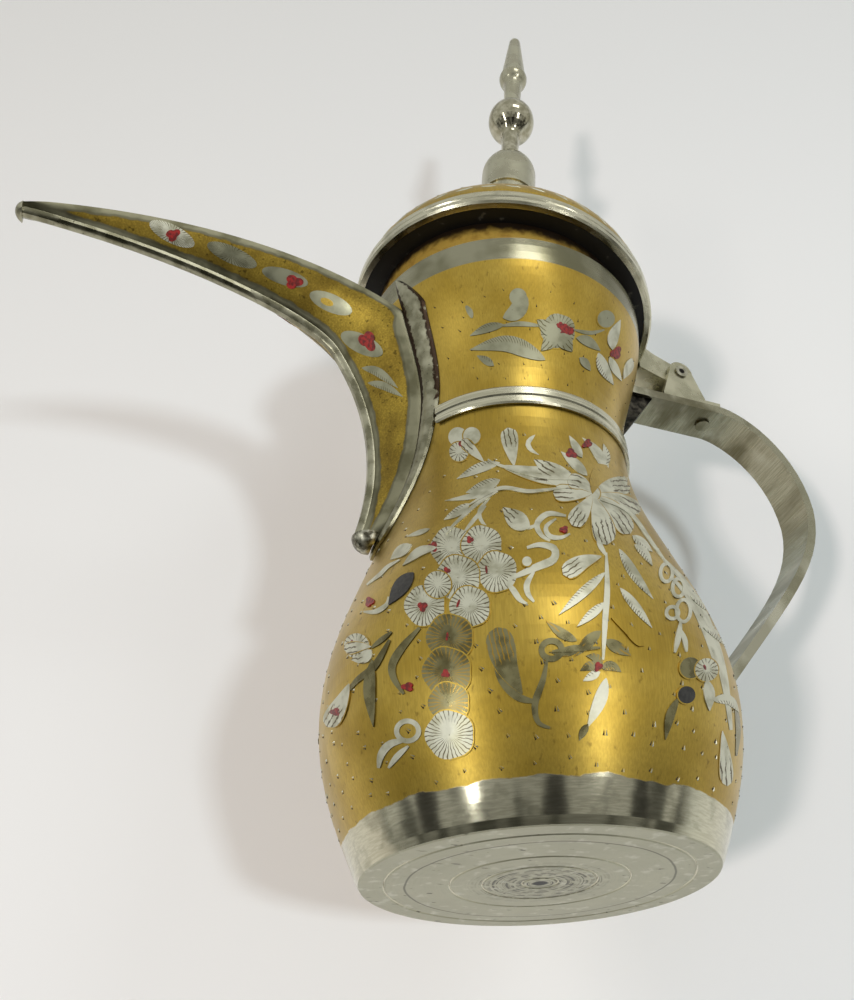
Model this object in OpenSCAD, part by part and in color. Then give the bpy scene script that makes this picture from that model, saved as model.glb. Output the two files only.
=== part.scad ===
// Coffee pot with a long beak spout, a strap handle and a domed lid on a hinge.
// Origin: centre of the base's underside. +Z up, handle towards +X, spout towards -X.

/* [Body] */
// Radius of the flat base
base_r = 40; // [34:0.5:46]
// Largest radius of the belly
belly_r = 49.4; // [46:0.2:56]
// Height of the belly's widest point
belly_z = 36.4; // [28:0.2:46]
// Outer radius of the sheet at the waist
waist_r = 31.2; // [27:0.2:35]
// Height of the lower edge of the waist ring
waist_z = 110.3; // [100:0.5:120]
// Outer radius of the mouth
lip_r = 40.1; // [38:0.2:44]
// Height of the mouth
lip_z = 159.8; // [150:0.5:172]
// Thickness of the sheet metal
wall = 1.2; // [0.8:0.1:2]
// Thickness of the turned base plate
plate_t = 1.8; // [1.2:0.1:3]
// Depth of the turned grooves in the base
groove_d = 0.35; // [0.1:0.05:0.8]

/* [Waist ring] */
// Height of the ring over the joint of the two shells
ring_h = 5.5; // [4:0.1:9]
// How far the ring stands out from the sheet
ring_t = 1; // [0.6:0.1:2]

/* [Strainer] */
// Radius of each drilled hole behind the spout
strain_r = 1.4; // [0.8:0.1:2]
// Distance between the holes
strain_pitch = 5.5; // [5:0.1:8]

/* [Spout] */
// Distance from the pot's axis to the tip of the spout
spout_reach = 132; // [115:1:150]
// Height of the tip above the mouth
spout_rise = 4.7; // [0:0.1:15]
// Height of the spout's toe on the belly
toe_z = 83.5; // [76:0.5:90]
// Distance from the mouth down to the top of the spout's root
root_drop = 13.5; // [10:0.2:18]
// Half width of the spout at the top of its root
root_w = 16.2; // [13:0.1:19]
// Half width of the spout at its toe
toe_w = 2.4; // [2:0.1:4]
// Half width of the spout at its tip
tip_w = 3.2; // [2.6:0.1:5]
// How far the toe stands out from the belly
toe_out = 7.3; // [5:0.1:9]
// How far the keel's elbow stands out from the waist
elbow_out = 19.8; // [15:0.2:26]
// How far the elbow of the keel lies below the mouth
elbow_drop = 17.8; // [14:0.2:24]
// Thickness of the cheek sheets
cheek_t = 1.4; // [1:0.1:1.5]
// Half width of the keel strip
keel_w = 1.6; // [1.5:0.1:2.4]
// Thickness of the keel strip
keel_t = 1.6; // [1:0.1:2.5]
// Width of the flange at the toe
flange_w = 2.4; // [1.8:0.1:4]
// Extra width of the flange at its top
flange_flare = 3.2; // [0:0.1:5]
// Thickness of the flange
flange_t = 1.5; // [1:0.1:2.4]

/* [Handle] */
// Width of the strap
strap_w = 12.6; // [9:0.2:18]
// Thickness of the strap
strap_t = 2.7; // [2:0.1:4]
// Distance from the mouth down to the strap's centre line
strap_drop = 9.9; // [8:0.1:14]
// Distance from the pot's axis to the strap's outermost point
strap_reach = 95.8; // [84:0.5:110]
// Height of that point above the waist
strap_bow = 7.7; // [0:0.1:16]
// Height of the strap's foot on the belly
foot_z = 46; // [40:0.5:54]
// Radius of the foot pad
foot_r = 10; // [8:0.2:13]
// Thickness of the foot pad
foot_t = 1.5; // [1:0.1:2.5]
// Height of the lug under the strap at the neck
lug_h = 7; // [4:0.2:12]
// Length of that lug
lug_l = 6; // [4:0.2:9]

/* [Hinge] */
// Distance of the pin outside the mouth
pin_out = 17.6; // [16.5:0.1:22]
// Height of the pin above the strap
pin_rise = 10.75; // [9:0.05:13]
// Radius of the pin
pin_r = 1.6; // [1.2:0.1:2]
// Radius of the ears and of the knuckle round the pin
ear_r = 4; // [3.4:0.1:4.6]
// Thickness of one ear
ear_t = 2; // [1.4:0.1:2.6]
// Width of an ear at its foot
ear_foot = 15; // [12:0.5:18]
// Thickness of the bracket's base
bracket_t = 1.2; // [0.8:0.1:1.8]
// Running clearance round the pin
pin_gap = 0.06; // [0.03:0.01:0.1]
// Side clearance of the knuckle between the ears
side_gap = 0.2; // [0.1:0.05:0.4]
// Radius of the rivet through bracket and strap
rivet_r = 1.4; // [1:0.1:1.8]

/* [Lid] */
// Gap between mouth and lid when shut
lid_gap = 2.4; // [0.4:0.1:4]
// Angle at which the lid stands ajar
lid_ajar = 5.1; // [0:0.1:12]
// Outer radius of the lid's rim
rim_r = 44.5; // [43:0.1:48]
// Height of the rim moulding
rim_h = 5.7; // [4.5:0.1:8]
// Width of the rim moulding
rim_w = 2.1; // [1.6:0.1:3]
// Outer radius of the collar that goes into the mouth
collar_r = 37.3; // [34:0.1:38]
// Length of the collar
collar_h = 9; // [5:0.2:10]
// How far the seat plate lies above the rim's edge
seat_up = 0.6; // [0.2:0.1:2]
// Height of the dome over the rim
dome_h = 21; // [16:0.5:26]
// Radius of the turret's foot on the dome
turret_r = 20; // [17:0.2:24]
// Height of the turret's top above the rim's edge
turret_top = 60; // [54:0.5:68]
// Radius of the turret's neck and of the bell on it
turret_neck = 9; // [8.6:0.1:11]

/* [Finial] */
// Height of the bell's straight foot
bell_foot = 12.8; // [8:0.2:16]
// Radius of the large ball
ball_r = 8; // [6:0.1:10]
// Radius of the small ball
bead_r = 5; // [4:0.1:6]
// Radius of the necks between the beads
neck_fr = 3.2; // [2.6:0.1:3.8]
// Length of the neck under the large ball
neck_low = 14.1; // [9:0.1:18]
// Length of the neck under the small ball
neck_high = 13.2; // [8:0.2:16]
// Length of the spire
spire_h = 25; // [20:0.2:34]
// Radius of the spire at its foot
spire_r = 4.5; // [3:0.1:4.6]
// Radius of the rod through the finial
rod_r = 1.5; // [1:0.1:1.8]

/* [Hidden] */

// Facets of the round parts
$fn = 96;
// Gap of a soldered seat on a curved wall
seat = 0.15;
// Clearance of a fixed part on the rod
rod_gap = 0.05;
// Overshoot of a cutting tool
over = 1;

gold = [0.78, 0.6, 0.2];
silver = [0.78, 0.77, 0.74];
nickel = [0.6, 0.6, 0.58];
dark = [0.12, 0.11, 0.1];

// Joint of the two shells under the ring
joint_z = waist_z + ring_h / 2;
ring_top = waist_z + ring_h;
strap_z = lip_z - strap_drop;
strap_top = strap_z + strap_t / 2;
pin_x = lip_r + pin_out;
pin_z = strap_top + pin_rise;
lid_z = lip_z + lid_gap;
dome_r = rim_r - 1.3;

function lerp(a, b, t) = a + (b - a) * t;
// Smooth step from 0 to 1
function swell(t) = (1 - cos(180 * min(max(t, 0), 1))) / 2;
function bezier(p, t) =
    pow(1 - t, 3) * p[0] + 3 * t * pow(1 - t, 2) * p[1] + 3 * t * t * (1 - t) * p[2] + pow(t, 3) * p[3];

// Outer radius of the pot's wall at height z
function body_r(z) =
    z < belly_z ? base_r + (belly_r - base_r) * sin(90 * max(z, 0) / belly_z)
    : z < waist_z ? lerp(belly_r, waist_r, swell((z - belly_z) / (waist_z - belly_z)))
    : lerp(waist_r, lip_r, swell((z - ring_top) / (lip_z - ring_top)));

// Solid of revolution from z0 to z1, grown outwards by g
module body_solid(z0, z1, g, steps = 40) {
    rotate_extrude()
        polygon(concat([[0, z0]],
            [for (i = [0:steps]) let (z = lerp(z0, z1, i / steps)) [body_r(z) + g, z]],
            [[0, z1]]));
}

// Wall of the pot between two heights
module body_wall(z0, z1, steps) {
    rotate_extrude()
        polygon(concat(
            [for (i = [0:steps]) let (z = lerp(z0, z1, i / steps)) [body_r(z), z]],
            [for (i = [steps:-1:0]) let (z = lerp(z0, z1, i / steps)) [body_r(z) - wall, z]]));
}

module base_plate() {
    grooves = [0.1, 0.32, 0.5, 0.86];
    half = 0.5;
    color(silver) rotate_extrude()
        polygon(concat(
            [[0, 0]],
            [for (g = grooves, k = [-1, 0, 1]) [g * base_r + k * half, k == 0 ? groove_d : 0]],
            [[base_r - 0.6, 0], [base_r - 0.15, 0.2], [body_r(plate_t), plate_t], [0, plate_t]]));
}

// Rows of holes through the wall behind the spout
module strainer(z0, rows) {
    for (row = [0:rows - 1], col = [-1:1])
        translate([-waist_r, col * strain_pitch, z0 + row * strain_pitch])
            rotate([0, 90, 0])
                cylinder(r = strain_r, h = 20, center = true, $fn = 24);
}

module belly_shell() {
    color(gold) difference() {
        body_wall(plate_t, joint_z, 34);
        strainer(joint_z - 9 - 2 * strain_pitch, 3);
    }
}

module neck_shell() {
    color(gold) difference() {
        body_wall(joint_z, lip_z, 20);
        strainer(joint_z + 8, 4);
    }
}

// Moulded ring over the joint; it is open behind the spout's flange
module waist_ring() {
    r0 = waist_r + seat;
    r1 = waist_r + ring_t;
    open_w = flange_y(ring_top) + 0.3;
    color(silver) difference() {
        rotate_extrude()
            polygon([
                [r0, waist_z], [r1 - 0.3, waist_z], [r1, waist_z + 0.5], [r1, joint_z - 0.9],
                [r1 - 0.35, joint_z - 0.5], [r1 - 0.35, joint_z - 0.2], [r1, joint_z + 0.2],
                [r1, ring_top - 0.5], [r1 - 0.3, ring_top], [r0, ring_top]
            ]);
        translate([-waist_r - 20, -open_w, waist_z - over])
            cube([waist_r, 2 * open_w, ring_h + 2 * over]);
    }
}

// --- Spout: two cheeks that part from a keel, each a ruled sheet ---

root_z = lip_z - root_drop;
tip_z = lip_z + spout_rise;
elbow = [-(waist_r + elbow_out), lip_z - elbow_drop];
// Share of the length in which the cheeks are soldered to the wall
root_part = 0.42;
spout_steps = 30;
cheek_steps = 6;

keel_low = [
    [-(body_r(toe_z) + toe_out), toe_z], [-(waist_r + 6), waist_z - 4.2],
    [-(waist_r + 10.2), waist_z + 16], elbow
];
keel_high = [
    elbow, elbow + [-5, 8.2], [elbow[0] - 37, tip_z - 0.5], [-spout_reach, tip_z]
];
// Half width of the root on the wall at height z
function root_y(z) = toe_w + (root_w - toe_w) * pow(max(z - toe_z, 0) / (root_z - toe_z), 0.52);
// Outer edge of the flange at height z
function flange_y(z) = root_y(z) + flange_w + flange_flare * max(z - toe_z, 0) / (root_z - toe_z);
function on_wall(y, r) = -sqrt(r * r - y * y);
edge_start = [on_wall(root_w, body_r(root_z) + seat), root_z];
edge_high = [
    edge_start, edge_start + [-22, 21.5], [elbow[0] - 44, tip_z + 11.5], [-spout_reach, tip_z + 2]
];

function keel_out(s) =
    s < root_part ? bezier(keel_low, s / root_part) : bezier(keel_high, (s - root_part) / (1 - root_part));
function edge_w(s) =
    s < root_part ? root_y(lerp(toe_z, root_z, s / root_part))
    : tip_w + (root_w - tip_w) * pow(1 - (s - root_part) / (1 - root_part), 1.5);
// Upper edge of a cheek sheet at half width w
function edge_at(s, w) =
    s < root_part
    ? let (z = lerp(toe_z, root_z, s / root_part)) [on_wall(w, body_r(z) + seat), z]
    : let (t = (s - root_part) / (1 - root_part), e = bezier(edge_high, t),
        wall_r = body_r(root_z) + seat)
        [e[0] + (1 - t) * (on_wall(w, wall_r) - on_wall(edge_w(s), wall_r)), e[1]];
function section_dir(s) = let (d = edge_at(s, edge_w(s)) - keel_out(s)) d / norm(d);
function keel_in(s) = keel_out(s) + keel_t * section_dir(s);

// Point of a cheek: s along the spout, u from keel to edge, in = depth into the sheet
function cheek_point(s, u, in) =
    let (w = edge_w(s) - in, k = keel_w - in, p = lerp(keel_in(s), edge_at(s, w), u))
    [p[0], -(k + (w - k) * sin(90 * u)), p[1]];

module cheek() {
    m = cheek_steps + 1;
    ring = 2 * m;
    points = [
        for (i = [0:spout_steps]) let (s = i / spout_steps)
            for (j = [0:ring - 1])
                j < m ? cheek_point(s, j / cheek_steps, 0)
                : cheek_point(s, (ring - 1 - j) / cheek_steps, cheek_t)
    ];
    faces = concat(
        [[for (j = [0:ring - 1]) j]],
        [[for (j = [ring - 1:-1:0]) spout_steps * ring + j]],
        [for (i = [0:spout_steps - 1], j = [0:ring - 1])
            let (a = i * ring + j, b = i * ring + (j + 1) % ring)
                [a, a + ring, b + ring, b]]);
    polyhedron(points, faces, convexity = 8);
}

module spout_cheek_right() {
    color(gold) cheek();
}

module spout_cheek_left() {
    color(gold) mirror([0, 1, 0]) cheek();
}

// Strip along the lower edge that joins the two cheeks
module spout_keel() {
    points = [
        for (i = [0:spout_steps])
            let (s = i / spout_steps, a = keel_in(s), b = keel_out(s), m = lerp(a, b, 0.6))
            for (q = [[a, keel_w], [m, keel_w * 0.9], [b, keel_w * 0.45],
                      [b, -keel_w * 0.45], [m, -keel_w * 0.9], [a, -keel_w]])
                [q[0][0], q[1], q[0][1]]
    ];
    faces = concat(
        [[for (j = [5:-1:0]) j]],
        [[for (j = [0:5]) spout_steps * 6 + j]],
        [for (i = [0:spout_steps - 1], j = [0:5])
            let (a = i * 6 + j, b = i * 6 + (j + 1) % 6)
                [a, b, b + 6, a + 6]]);
    color(silver) polyhedron(points, faces, convexity = 6);
}

// Rounded nose that closes the ends of cheeks and keel, with a pouring notch
module spout_nose() {
    half_h = 1.7;
    depth = 1.8;
    nose_r = (pow(tip_w, 2) + pow(depth, 2)) / (2 * depth);
    nose_z = tip_z + 1;
    color(silver) difference() {
        translate([-spout_reach + nose_r - depth, 0, nose_z])
            rotate_extrude()
                polygon(concat([[0, -half_h]],
                    [for (a = [-90:15:90]) [nose_r - half_h + half_h * cos(a), half_h * sin(a)]],
                    [[0, half_h]]));
        translate([-spout_reach, -2 * nose_r, nose_z - 2 * nose_r])
            cube(4 * nose_r);
        translate([-spout_reach - 2 * nose_r, 0, nose_z + half_h])
            rotate([0, 90, 0])
                cylinder(r = tip_w / 2, h = 4 * nose_r, $fn = 32);
    }
}

// Lump of solder that closes the spout's lower end
module spout_toe() {
    lump_r = 4;
    wall_out = seat + flange_t + seat;
    color(dark) difference() {
        translate([-(body_r(toe_z) + toe_out - lump_r + 0.4), 0, toe_z - seat])
            sphere(r = lump_r);
        translate([-belly_r - 20, -belly_r, toe_z - seat])
            cube(2 * belly_r);
        body_solid(toe_z - 2 * lump_r, toe_z, wall_out, 12);
    }
}

// Flange round the root: one strip down the right side, round the toe and up the left side.
// Above the root it narrows to a horn that ends under the lip.
module spout_flange() {
    steps = 20;
    horn_steps = 5;
    ring = 6;
    gap = 0.25;
    horn_z = lip_z - 3;
    all_steps = steps + horn_steps;
    // Stations: side and step, from the top of the right side to the top of the left side
    path = concat(
        [for (i = [all_steps:-1:0]) [-1, i]],
        [for (k = [-0.5, 0, 0.5]) [k, 0]],
        [for (i = [0:all_steps]) [1, i]]);
    points = [
        for (q = path)
            let (low = min(q[1] / steps, 1),
                 horn = max(q[1] - steps, 0) / horn_steps,
                 z = lerp(lerp(toe_z - 0.3, root_z, low), horn_z, horn),
                 drop = (flange_w + 0.4) * pow(1 - low, 6),
                 y0 = min(root_y(z), root_w) + gap - 0.2 * pow(1 - low, 6),
                 y1 = lerp(flange_y(min(z, root_z)), y0 + 0.8, pow(horn, 1.5)),
                 z1 = z - drop,
                 zm = z - drop * 0.4,
                 ym = lerp(y0, y1, 0.4))
            for (e = [[y0, z, 0], [(y0 + y1) / 2, (z + z1) / 2, 0], [y1, z1, 0],
                      [y1, z1, flange_t * 0.5], [ym, zm, flange_t], [y0, z, flange_t * 0.8]])
                let (y = q[0] * e[0]) [on_wall(y, body_r(e[1]) + seat + e[2]), y, e[1]]
    ];
    last = len(path) - 1;
    faces = concat(
        [[for (j = [0:ring - 1]) j]],
        [[for (j = [ring - 1:-1:0]) last * ring + j]],
        [for (i = [0:last - 1], j = [0:ring - 1])
            let (a = i * ring + j, b = i * ring + (j + 1) % ring)
                [a, a + ring, b + ring, b]]);
    color(silver) polyhedron(points, faces, convexity = 8);
}

// --- Handle ---

bracket_l = ear_foot + 5;
bracket_x = pin_x - ear_foot / 2;
rivet_head = rivet_r + 0.9;
rivet_x = bracket_x + bracket_l - rivet_head - 1;
straight_x = rivet_x + rivet_head;
bow = [strap_reach, waist_z + strap_bow];
upper_bend = [[straight_x, strap_z], [straight_x + 8, strap_z], [bow[0] - 1.3, bow[1] + 22], bow];
lower_bend = [bow, [bow[0], bow[1] - 20], [bow[0] - 17.8, foot_z + 36], [body_r(foot_z) - 1, foot_z - 1]];
bend_steps = 14;
strap_line = concat(
    [[lip_r - 8, strap_z]],
    [for (i = [0:bend_steps]) bezier(upper_bend, i / bend_steps)],
    [for (i = [1:bend_steps]) bezier(lower_bend, i / bend_steps)]);
function across(p, i) =
    let (a = p[max(i - 1, 0)], b = p[min(i + 1, len(p) - 1)], d = (b - a) / norm(b - a)) [-d[1], d[0]];

module strap_shape() {
    p = strap_line;
    n = len(p) - 1;
    polygon(concat(
        [for (i = [0:n]) p[i] + strap_t / 2 * across(p, i)],
        [for (i = [n:-1:0]) p[i] - strap_t / 2 * across(p, i)]));
}

// Lays a shape drawn in X and Z across the width w
module across_y(w) {
    rotate([90, 0, 0])
        linear_extrude(height = w, center = true)
            children();
}

module rivet_hole(r) {
    translate([rivet_x, 0, strap_z])
        cylinder(r = r, h = 20, center = true, $fn = 48);
}

module handle_strap() {
    color(nickel) difference() {
        across_y(strap_w) strap_shape();
        body_solid(joint_z, lip_z, seat);
        body_solid(1, joint_z, seat + foot_t + seat);
        rivet_hole(rivet_r + rod_gap);
    }
}

// Lug of solder under the strap's inner end
module handle_lug() {
    color(dark) difference() {
        across_y(strap_w - 2)
            polygon([
                [waist_r, strap_z - strap_t / 2], [lip_r + lug_l, strap_z - strap_t / 2],
                [lip_r + 1, strap_z - strap_t / 2 - lug_h], [waist_r, strap_z - strap_t / 2 - lug_h]
            ]);
        body_solid(joint_z, lip_z, seat);
    }
}

// Round pad between the strap's lower end and the belly
module handle_foot() {
    color(nickel) difference() {
        intersection() {
            body_solid(plate_t, waist_z, seat + foot_t);
            translate([0, 0, foot_z])
                rotate([0, 90, 0])
                    cylinder(r = foot_r, h = 2 * belly_r);
        }
        body_solid(plate_t - over, waist_z + over, seat);
    }
}

// --- Hinge ---

module hinge_bracket() {
    ear_y = strap_w / 2 - ear_t;
    color(nickel) difference() {
        union() {
            translate([bracket_x, -strap_w / 2, strap_top])
                cube([bracket_l, strap_w, bracket_t]);
            for (y = [-strap_w / 2, ear_y])
                translate([0, y + ear_t, 0])
                    rotate([90, 0, 0])
                        linear_extrude(height = ear_t) {
                            polygon([
                                [bracket_x, strap_top + bracket_t / 2],
                                [bracket_x + ear_foot, strap_top + bracket_t / 2],
                                [pin_x + ear_r, pin_z], [pin_x - ear_r, pin_z]
                            ]);
                            translate([pin_x, pin_z]) circle(r = ear_r);
                        }
        }
        translate([pin_x, 0, pin_z])
            rotate([90, 0, 0])
                cylinder(r = pin_r + pin_gap, h = 2 * strap_w, center = true);
        rivet_hole(rivet_r + rod_gap);
    }
}

module hinge_pin() {
    head = 0.5;
    color(silver) translate([pin_x, 0, pin_z])
        rotate([90, 0, 0]) {
            cylinder(r = pin_r, h = strap_w + 2 * head, center = true);
            for (side = [-1, 1])
                translate([0, 0, side * (strap_w / 2 + head / 2 + 0.05)])
                    cylinder(r = pin_r + 0.5, h = head, center = true);
        }
}

module hinge_rivet() {
    head_h = 0.8;
    stack = strap_t + bracket_t;
    color(nickel) translate([rivet_x, 0, strap_z - strap_t / 2]) {
        translate([0, 0, -head_h]) cylinder(r = rivet_head, h = head_h, $fn = 48);
        cylinder(r = rivet_r, h = stack, $fn = 48);
        translate([0, 0, stack]) cylinder(r = rivet_head, h = head_h, $fn = 48);
    }
}

// --- Lid, drawn shut and then turned about the pin ---

module lid_place() {
    translate([pin_x, 0, pin_z])
        rotate([0, lid_ajar, 0])
            translate([-pin_x, 0, lid_z - pin_z])
                children();
}

module lid_rim() {
    r0 = rim_r - rim_w;
    color(silver) lid_place() rotate_extrude()
        polygon([
            [r0, 0], [rim_r - 0.5, 0], [rim_r, 0.6], [rim_r, 1.9], [rim_r - 0.5, 2.3],
            [rim_r - 0.15, 2.8], [rim_r - 0.2, rim_h - 1.3], [rim_r - 1, rim_h], [r0, rim_h]
        ]);
}

// Flat ring that closes the dome from below
module lid_seat() {
    color(dark) lid_place() rotate_extrude()
        translate([collar_r - wall, seat_up])
            square([rim_r - rim_w - seat - collar_r + wall, wall]);
}

module lid_collar() {
    color(gold) lid_place() rotate_extrude()
        translate([collar_r - wall, seat_up - collar_h])
            square([wall, collar_h]);
}

// Height of the dome's outer face at radius r
function dome_z(r) = rim_h + dome_h * sqrt(max(1 - pow(r / dome_r, 2), 0));

module lid_dome() {
    steps = 18;
    a0 = acos((turret_r - 1) / dome_r);
    inner = [dome_r - wall, dome_h - wall];
    color(gold) lid_place() rotate_extrude()
        polygon(concat(
            [for (i = [0:steps]) let (a = a0 * i / steps) [dome_r * cos(a), rim_h + dome_h * sin(a)]],
            [for (i = [steps:-1:0]) let (a = a0 * i / steps)
                [i == steps ? turret_r - 1 : inner[0] * cos(a), rim_h + inner[1] * sin(a)]]));
}

// Hollow flared tower that carries the finial
module lid_turret() {
    steps = 16;
    foot_h = dome_z(turret_r - 1) + 0.05;
    flare_h = turret_top - foot_h - 7;
    bead = 0.8;
    function flare(i) = let (t = i / steps)
        [turret_neck + (turret_r - turret_neck) * pow(1 - t, 2.2), foot_h + 1.6 + flare_h * t];
    color(silver) lid_place() rotate_extrude()
        polygon(concat(
            [[turret_r - 1, foot_h], [turret_r - 0.2, foot_h], [turret_r + bead - 0.3, foot_h + 0.3],
             [turret_r + bead - 0.3, foot_h + 1.2]],
            [for (i = [0:steps]) flare(i)],
            [[turret_neck, turret_top - 0.6], [turret_neck + 0.5, turret_top - 0.3]],
            [[turret_neck + 0.5, turret_top],
             [rod_r + rod_gap, turret_top], [rod_r + rod_gap, turret_top - wall],
             [turret_neck - wall, turret_top - wall]],
            [for (i = [steps:-1:0]) flare(i) - [wall, 0]]));
}

// Arm of the lid that ends in the knuckle round the pin
module lid_tab() {
    half = strap_w / 2 - ear_t - side_gap;
    arm_low = 2.2;
    color(nickel) difference() {
        lid_place() difference() {
            across_y(2 * half) {
                translate([pin_x, pin_z - lid_z]) circle(r = ear_r);
                polygon([
                    [dome_r - 3, 0.2], [rim_r + 4, 0.2 - arm_low], [pin_x, pin_z - lid_z - ear_r],
                    [pin_x, pin_z - lid_z + ear_r], [rim_r + 5, rim_h + 0.6], [rim_r + 1.5, rim_h + 2.4],
                    [dome_r - 3, rim_h + 3]
                ]);
            }
            rotate_extrude()
                polygon(concat([[0, -5], [rim_r + seat, -5], [rim_r + seat, rim_h - 0.2]],
                    [for (a = [0:4:40]) [(dome_r + 0.5) * cos(a), rim_h + 0.4 + dome_h * sin(a)]],
                    [[0, rim_h + dome_h]]));
        }
        translate([pin_x, 0, pin_z])
            rotate([90, 0, 0])
                cylinder(r = pin_r + pin_gap, h = 2 * strap_w, center = true);
    }
}

// --- Finial: turned beads threaded on one rod ---

bell_top = turret_top + bell_foot + turret_neck;
ball_c = bell_top + neck_low + ball_r;
bead_foot = ball_c + ball_r;
bead_c = bead_foot + neck_high + bead_r;
// Share of the small ball's radius at which the spire cuts it off
bead_cut = 0.05;
bead_top = bead_c + bead_r * bead_cut;
bore_r = rod_r + rod_gap;
// Depth of the blind bore in the spire
socket_h = 8;

// Turned bead: outer points between two heights, with a bore for the rod
module turned(z0, z1, outer) {
    lid_place() rotate_extrude()
        polygon(concat([[bore_r, z0]], outer, [[bore_r, z1]]));
}

module finial_bell() {
    r = turret_neck;
    foot = turret_top + bell_foot;
    color(silver) turned(turret_top, bell_top, concat(
        [[r, turret_top], [r, foot]],
        [for (a = [6:6:66]) [r * cos(a), foot + r * sin(a)]],
        [[neck_fr + 0.2, bell_top - 0.5], [neck_fr + 0.2, bell_top]]));
}

// Half angle of the flat that a neck of the finial leaves on a ball of radius r
function pole(r) = acos(neck_fr / r);
// Angle at which the fillet of the lower neck leaves the ball, and the fillet's length
function blend_a(r) = -0.75 * pole(r);
function blend_l(r) = 0.2 * r;
// Fillet from the neck up into a ball of radius r, centred at height c
function neck_blend(r, c) =
    let (a = blend_a(r), l = blend_l(r), end = [r * cos(a), c + r * sin(a)],
         curve = [[neck_fr, c - r - l], [neck_fr, c - r], end + l * [sin(a), -cos(a)], end])
    [for (i = [0:6]) bezier(curve, i / 6)];

module finial_ball() {
    a0 = blend_a(ball_r);
    a1 = pole(ball_r);
    color(silver) turned(bell_top, bead_foot, concat(
        [[neck_fr + 0.3, bell_top], [neck_fr, bell_top + 1], [neck_fr - 0.2, bell_top + neck_low / 2]],
        neck_blend(ball_r, ball_c),
        [for (i = [1:18]) let (a = lerp(a0, a1, i / 18)) [ball_r * cos(a), ball_c + ball_r * sin(a)]],
        [[neck_fr, bead_foot]]));
}

module finial_bead() {
    a0 = blend_a(bead_r);
    a1 = asin(bead_cut);
    color(silver) turned(bead_foot, bead_top, concat(
        [[neck_fr, bead_foot], [neck_fr - 0.3, bead_foot + neck_high / 2]],
        neck_blend(bead_r, bead_c),
        [for (i = [1:12]) let (a = lerp(a0, a1, i / 12)) [bead_r * cos(a), bead_c + bead_r * sin(a)]]));
}

module finial_spire() {
    tip_r = 2.1;
    top = bead_top + spire_h;
    color(silver) lid_place() rotate_extrude()
        polygon(concat(
            [[bore_r, bead_top], [spire_r - 0.3, bead_top], [spire_r, bead_top + 0.5]],
            [for (a = [10:16:90]) [a == 90 ? 0 : tip_r * cos(a), top - tip_r + tip_r * sin(a)]],
            [[0, top], [0, bead_top + socket_h], [bore_r, bead_top + socket_h]]));
}

module finial_rod() {
    low = turret_top - 9;
    end_gap = 0.3;
    color(nickel) lid_place()
        translate([0, 0, low])
            cylinder(r = rod_r, h = bead_top + socket_h - end_gap - low, $fn = 48);
}

module finial_nut() {
    nut_h = 3;
    nut_r = 4;
    color(nickel) lid_place()
        translate([0, 0, turret_top - wall - nut_h])
            difference() {
                cylinder(r = nut_r, h = nut_h, $fn = 6);
                translate([0, 0, -over]) cylinder(r = bore_r, h = nut_h + 2 * over, $fn = 48);
            }
}

base_plate();
belly_shell();
waist_ring();
neck_shell();
spout_cheek_right();
spout_cheek_left();
spout_keel();
spout_nose();
spout_toe();
spout_flange();
handle_strap();
handle_lug();
handle_foot();
hinge_bracket();
hinge_pin();
hinge_rivet();
lid_rim();
lid_seat();
lid_collar();
lid_dome();
lid_turret();
lid_tab();
finial_bell();
finial_ball();
finial_bead();
finial_spire();
finial_rod();
finial_nut();
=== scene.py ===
"""Looks of the coffee pot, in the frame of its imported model, in metres.

The turned and sheet-metal pieces keep their solids and get finishes here. Spout, flange and
the scraped flower work are made here, on the same curves as the solids.
"""

import bpy
import bmesh
from math import cos, hypot, pi, radians, sin, sqrt
from random import Random
from mathutils import Matrix, Vector
from mathutils.bvhtree import BVHTree


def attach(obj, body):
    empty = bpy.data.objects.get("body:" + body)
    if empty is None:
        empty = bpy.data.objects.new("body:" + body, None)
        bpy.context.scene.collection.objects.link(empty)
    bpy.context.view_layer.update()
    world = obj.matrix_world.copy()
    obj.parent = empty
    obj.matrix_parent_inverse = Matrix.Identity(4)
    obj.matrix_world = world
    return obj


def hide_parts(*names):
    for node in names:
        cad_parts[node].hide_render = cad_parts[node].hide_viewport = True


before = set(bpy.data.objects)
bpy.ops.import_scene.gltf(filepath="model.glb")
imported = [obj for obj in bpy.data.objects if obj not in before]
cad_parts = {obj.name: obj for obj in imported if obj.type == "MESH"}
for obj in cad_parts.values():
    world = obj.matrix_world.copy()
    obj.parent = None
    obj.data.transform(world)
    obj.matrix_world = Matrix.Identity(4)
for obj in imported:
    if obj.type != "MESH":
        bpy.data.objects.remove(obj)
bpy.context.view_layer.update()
MM = 0.001

# ---------------------------------------------------------------- camera
# Image size, focal length and centre of perspective, in pixels, and the sensor's width, in mm
IMAGE_W, IMAGE_H = 854, 1000
FOCAL = 1023.4
CENTRE_X, CENTRE_Y = 496.9, 623.0
SENSOR = 36.0
# How the camera is pitched up, yawed and rolled, and how the pot is turned before it, in degrees
PITCH, YAW, ROLL, TURN = 29.41, 1.60, -3.23, 24.7
EYE = Vector((-94.0, -204.4, -60.4)) * MM

# Turns the pot's axes to a level camera's: right, down and forward
LEVEL = Matrix(((1, 0, 0), (0, 0, -1), (0, 1, 0)))
# Rows are the camera's right, down and forward directions
AIM = (
    Matrix.Rotation(radians(ROLL), 3, "Z") @ Matrix.Rotation(radians(-PITCH), 3, "X")
    @ Matrix.Rotation(radians(YAW), 3, "Y") @ LEVEL @ Matrix.Rotation(radians(TURN), 3, "Z")
)
RIGHT, UP, BACK = AIM[0].copy(), -AIM[1].copy(), -AIM[2].copy()

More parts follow.
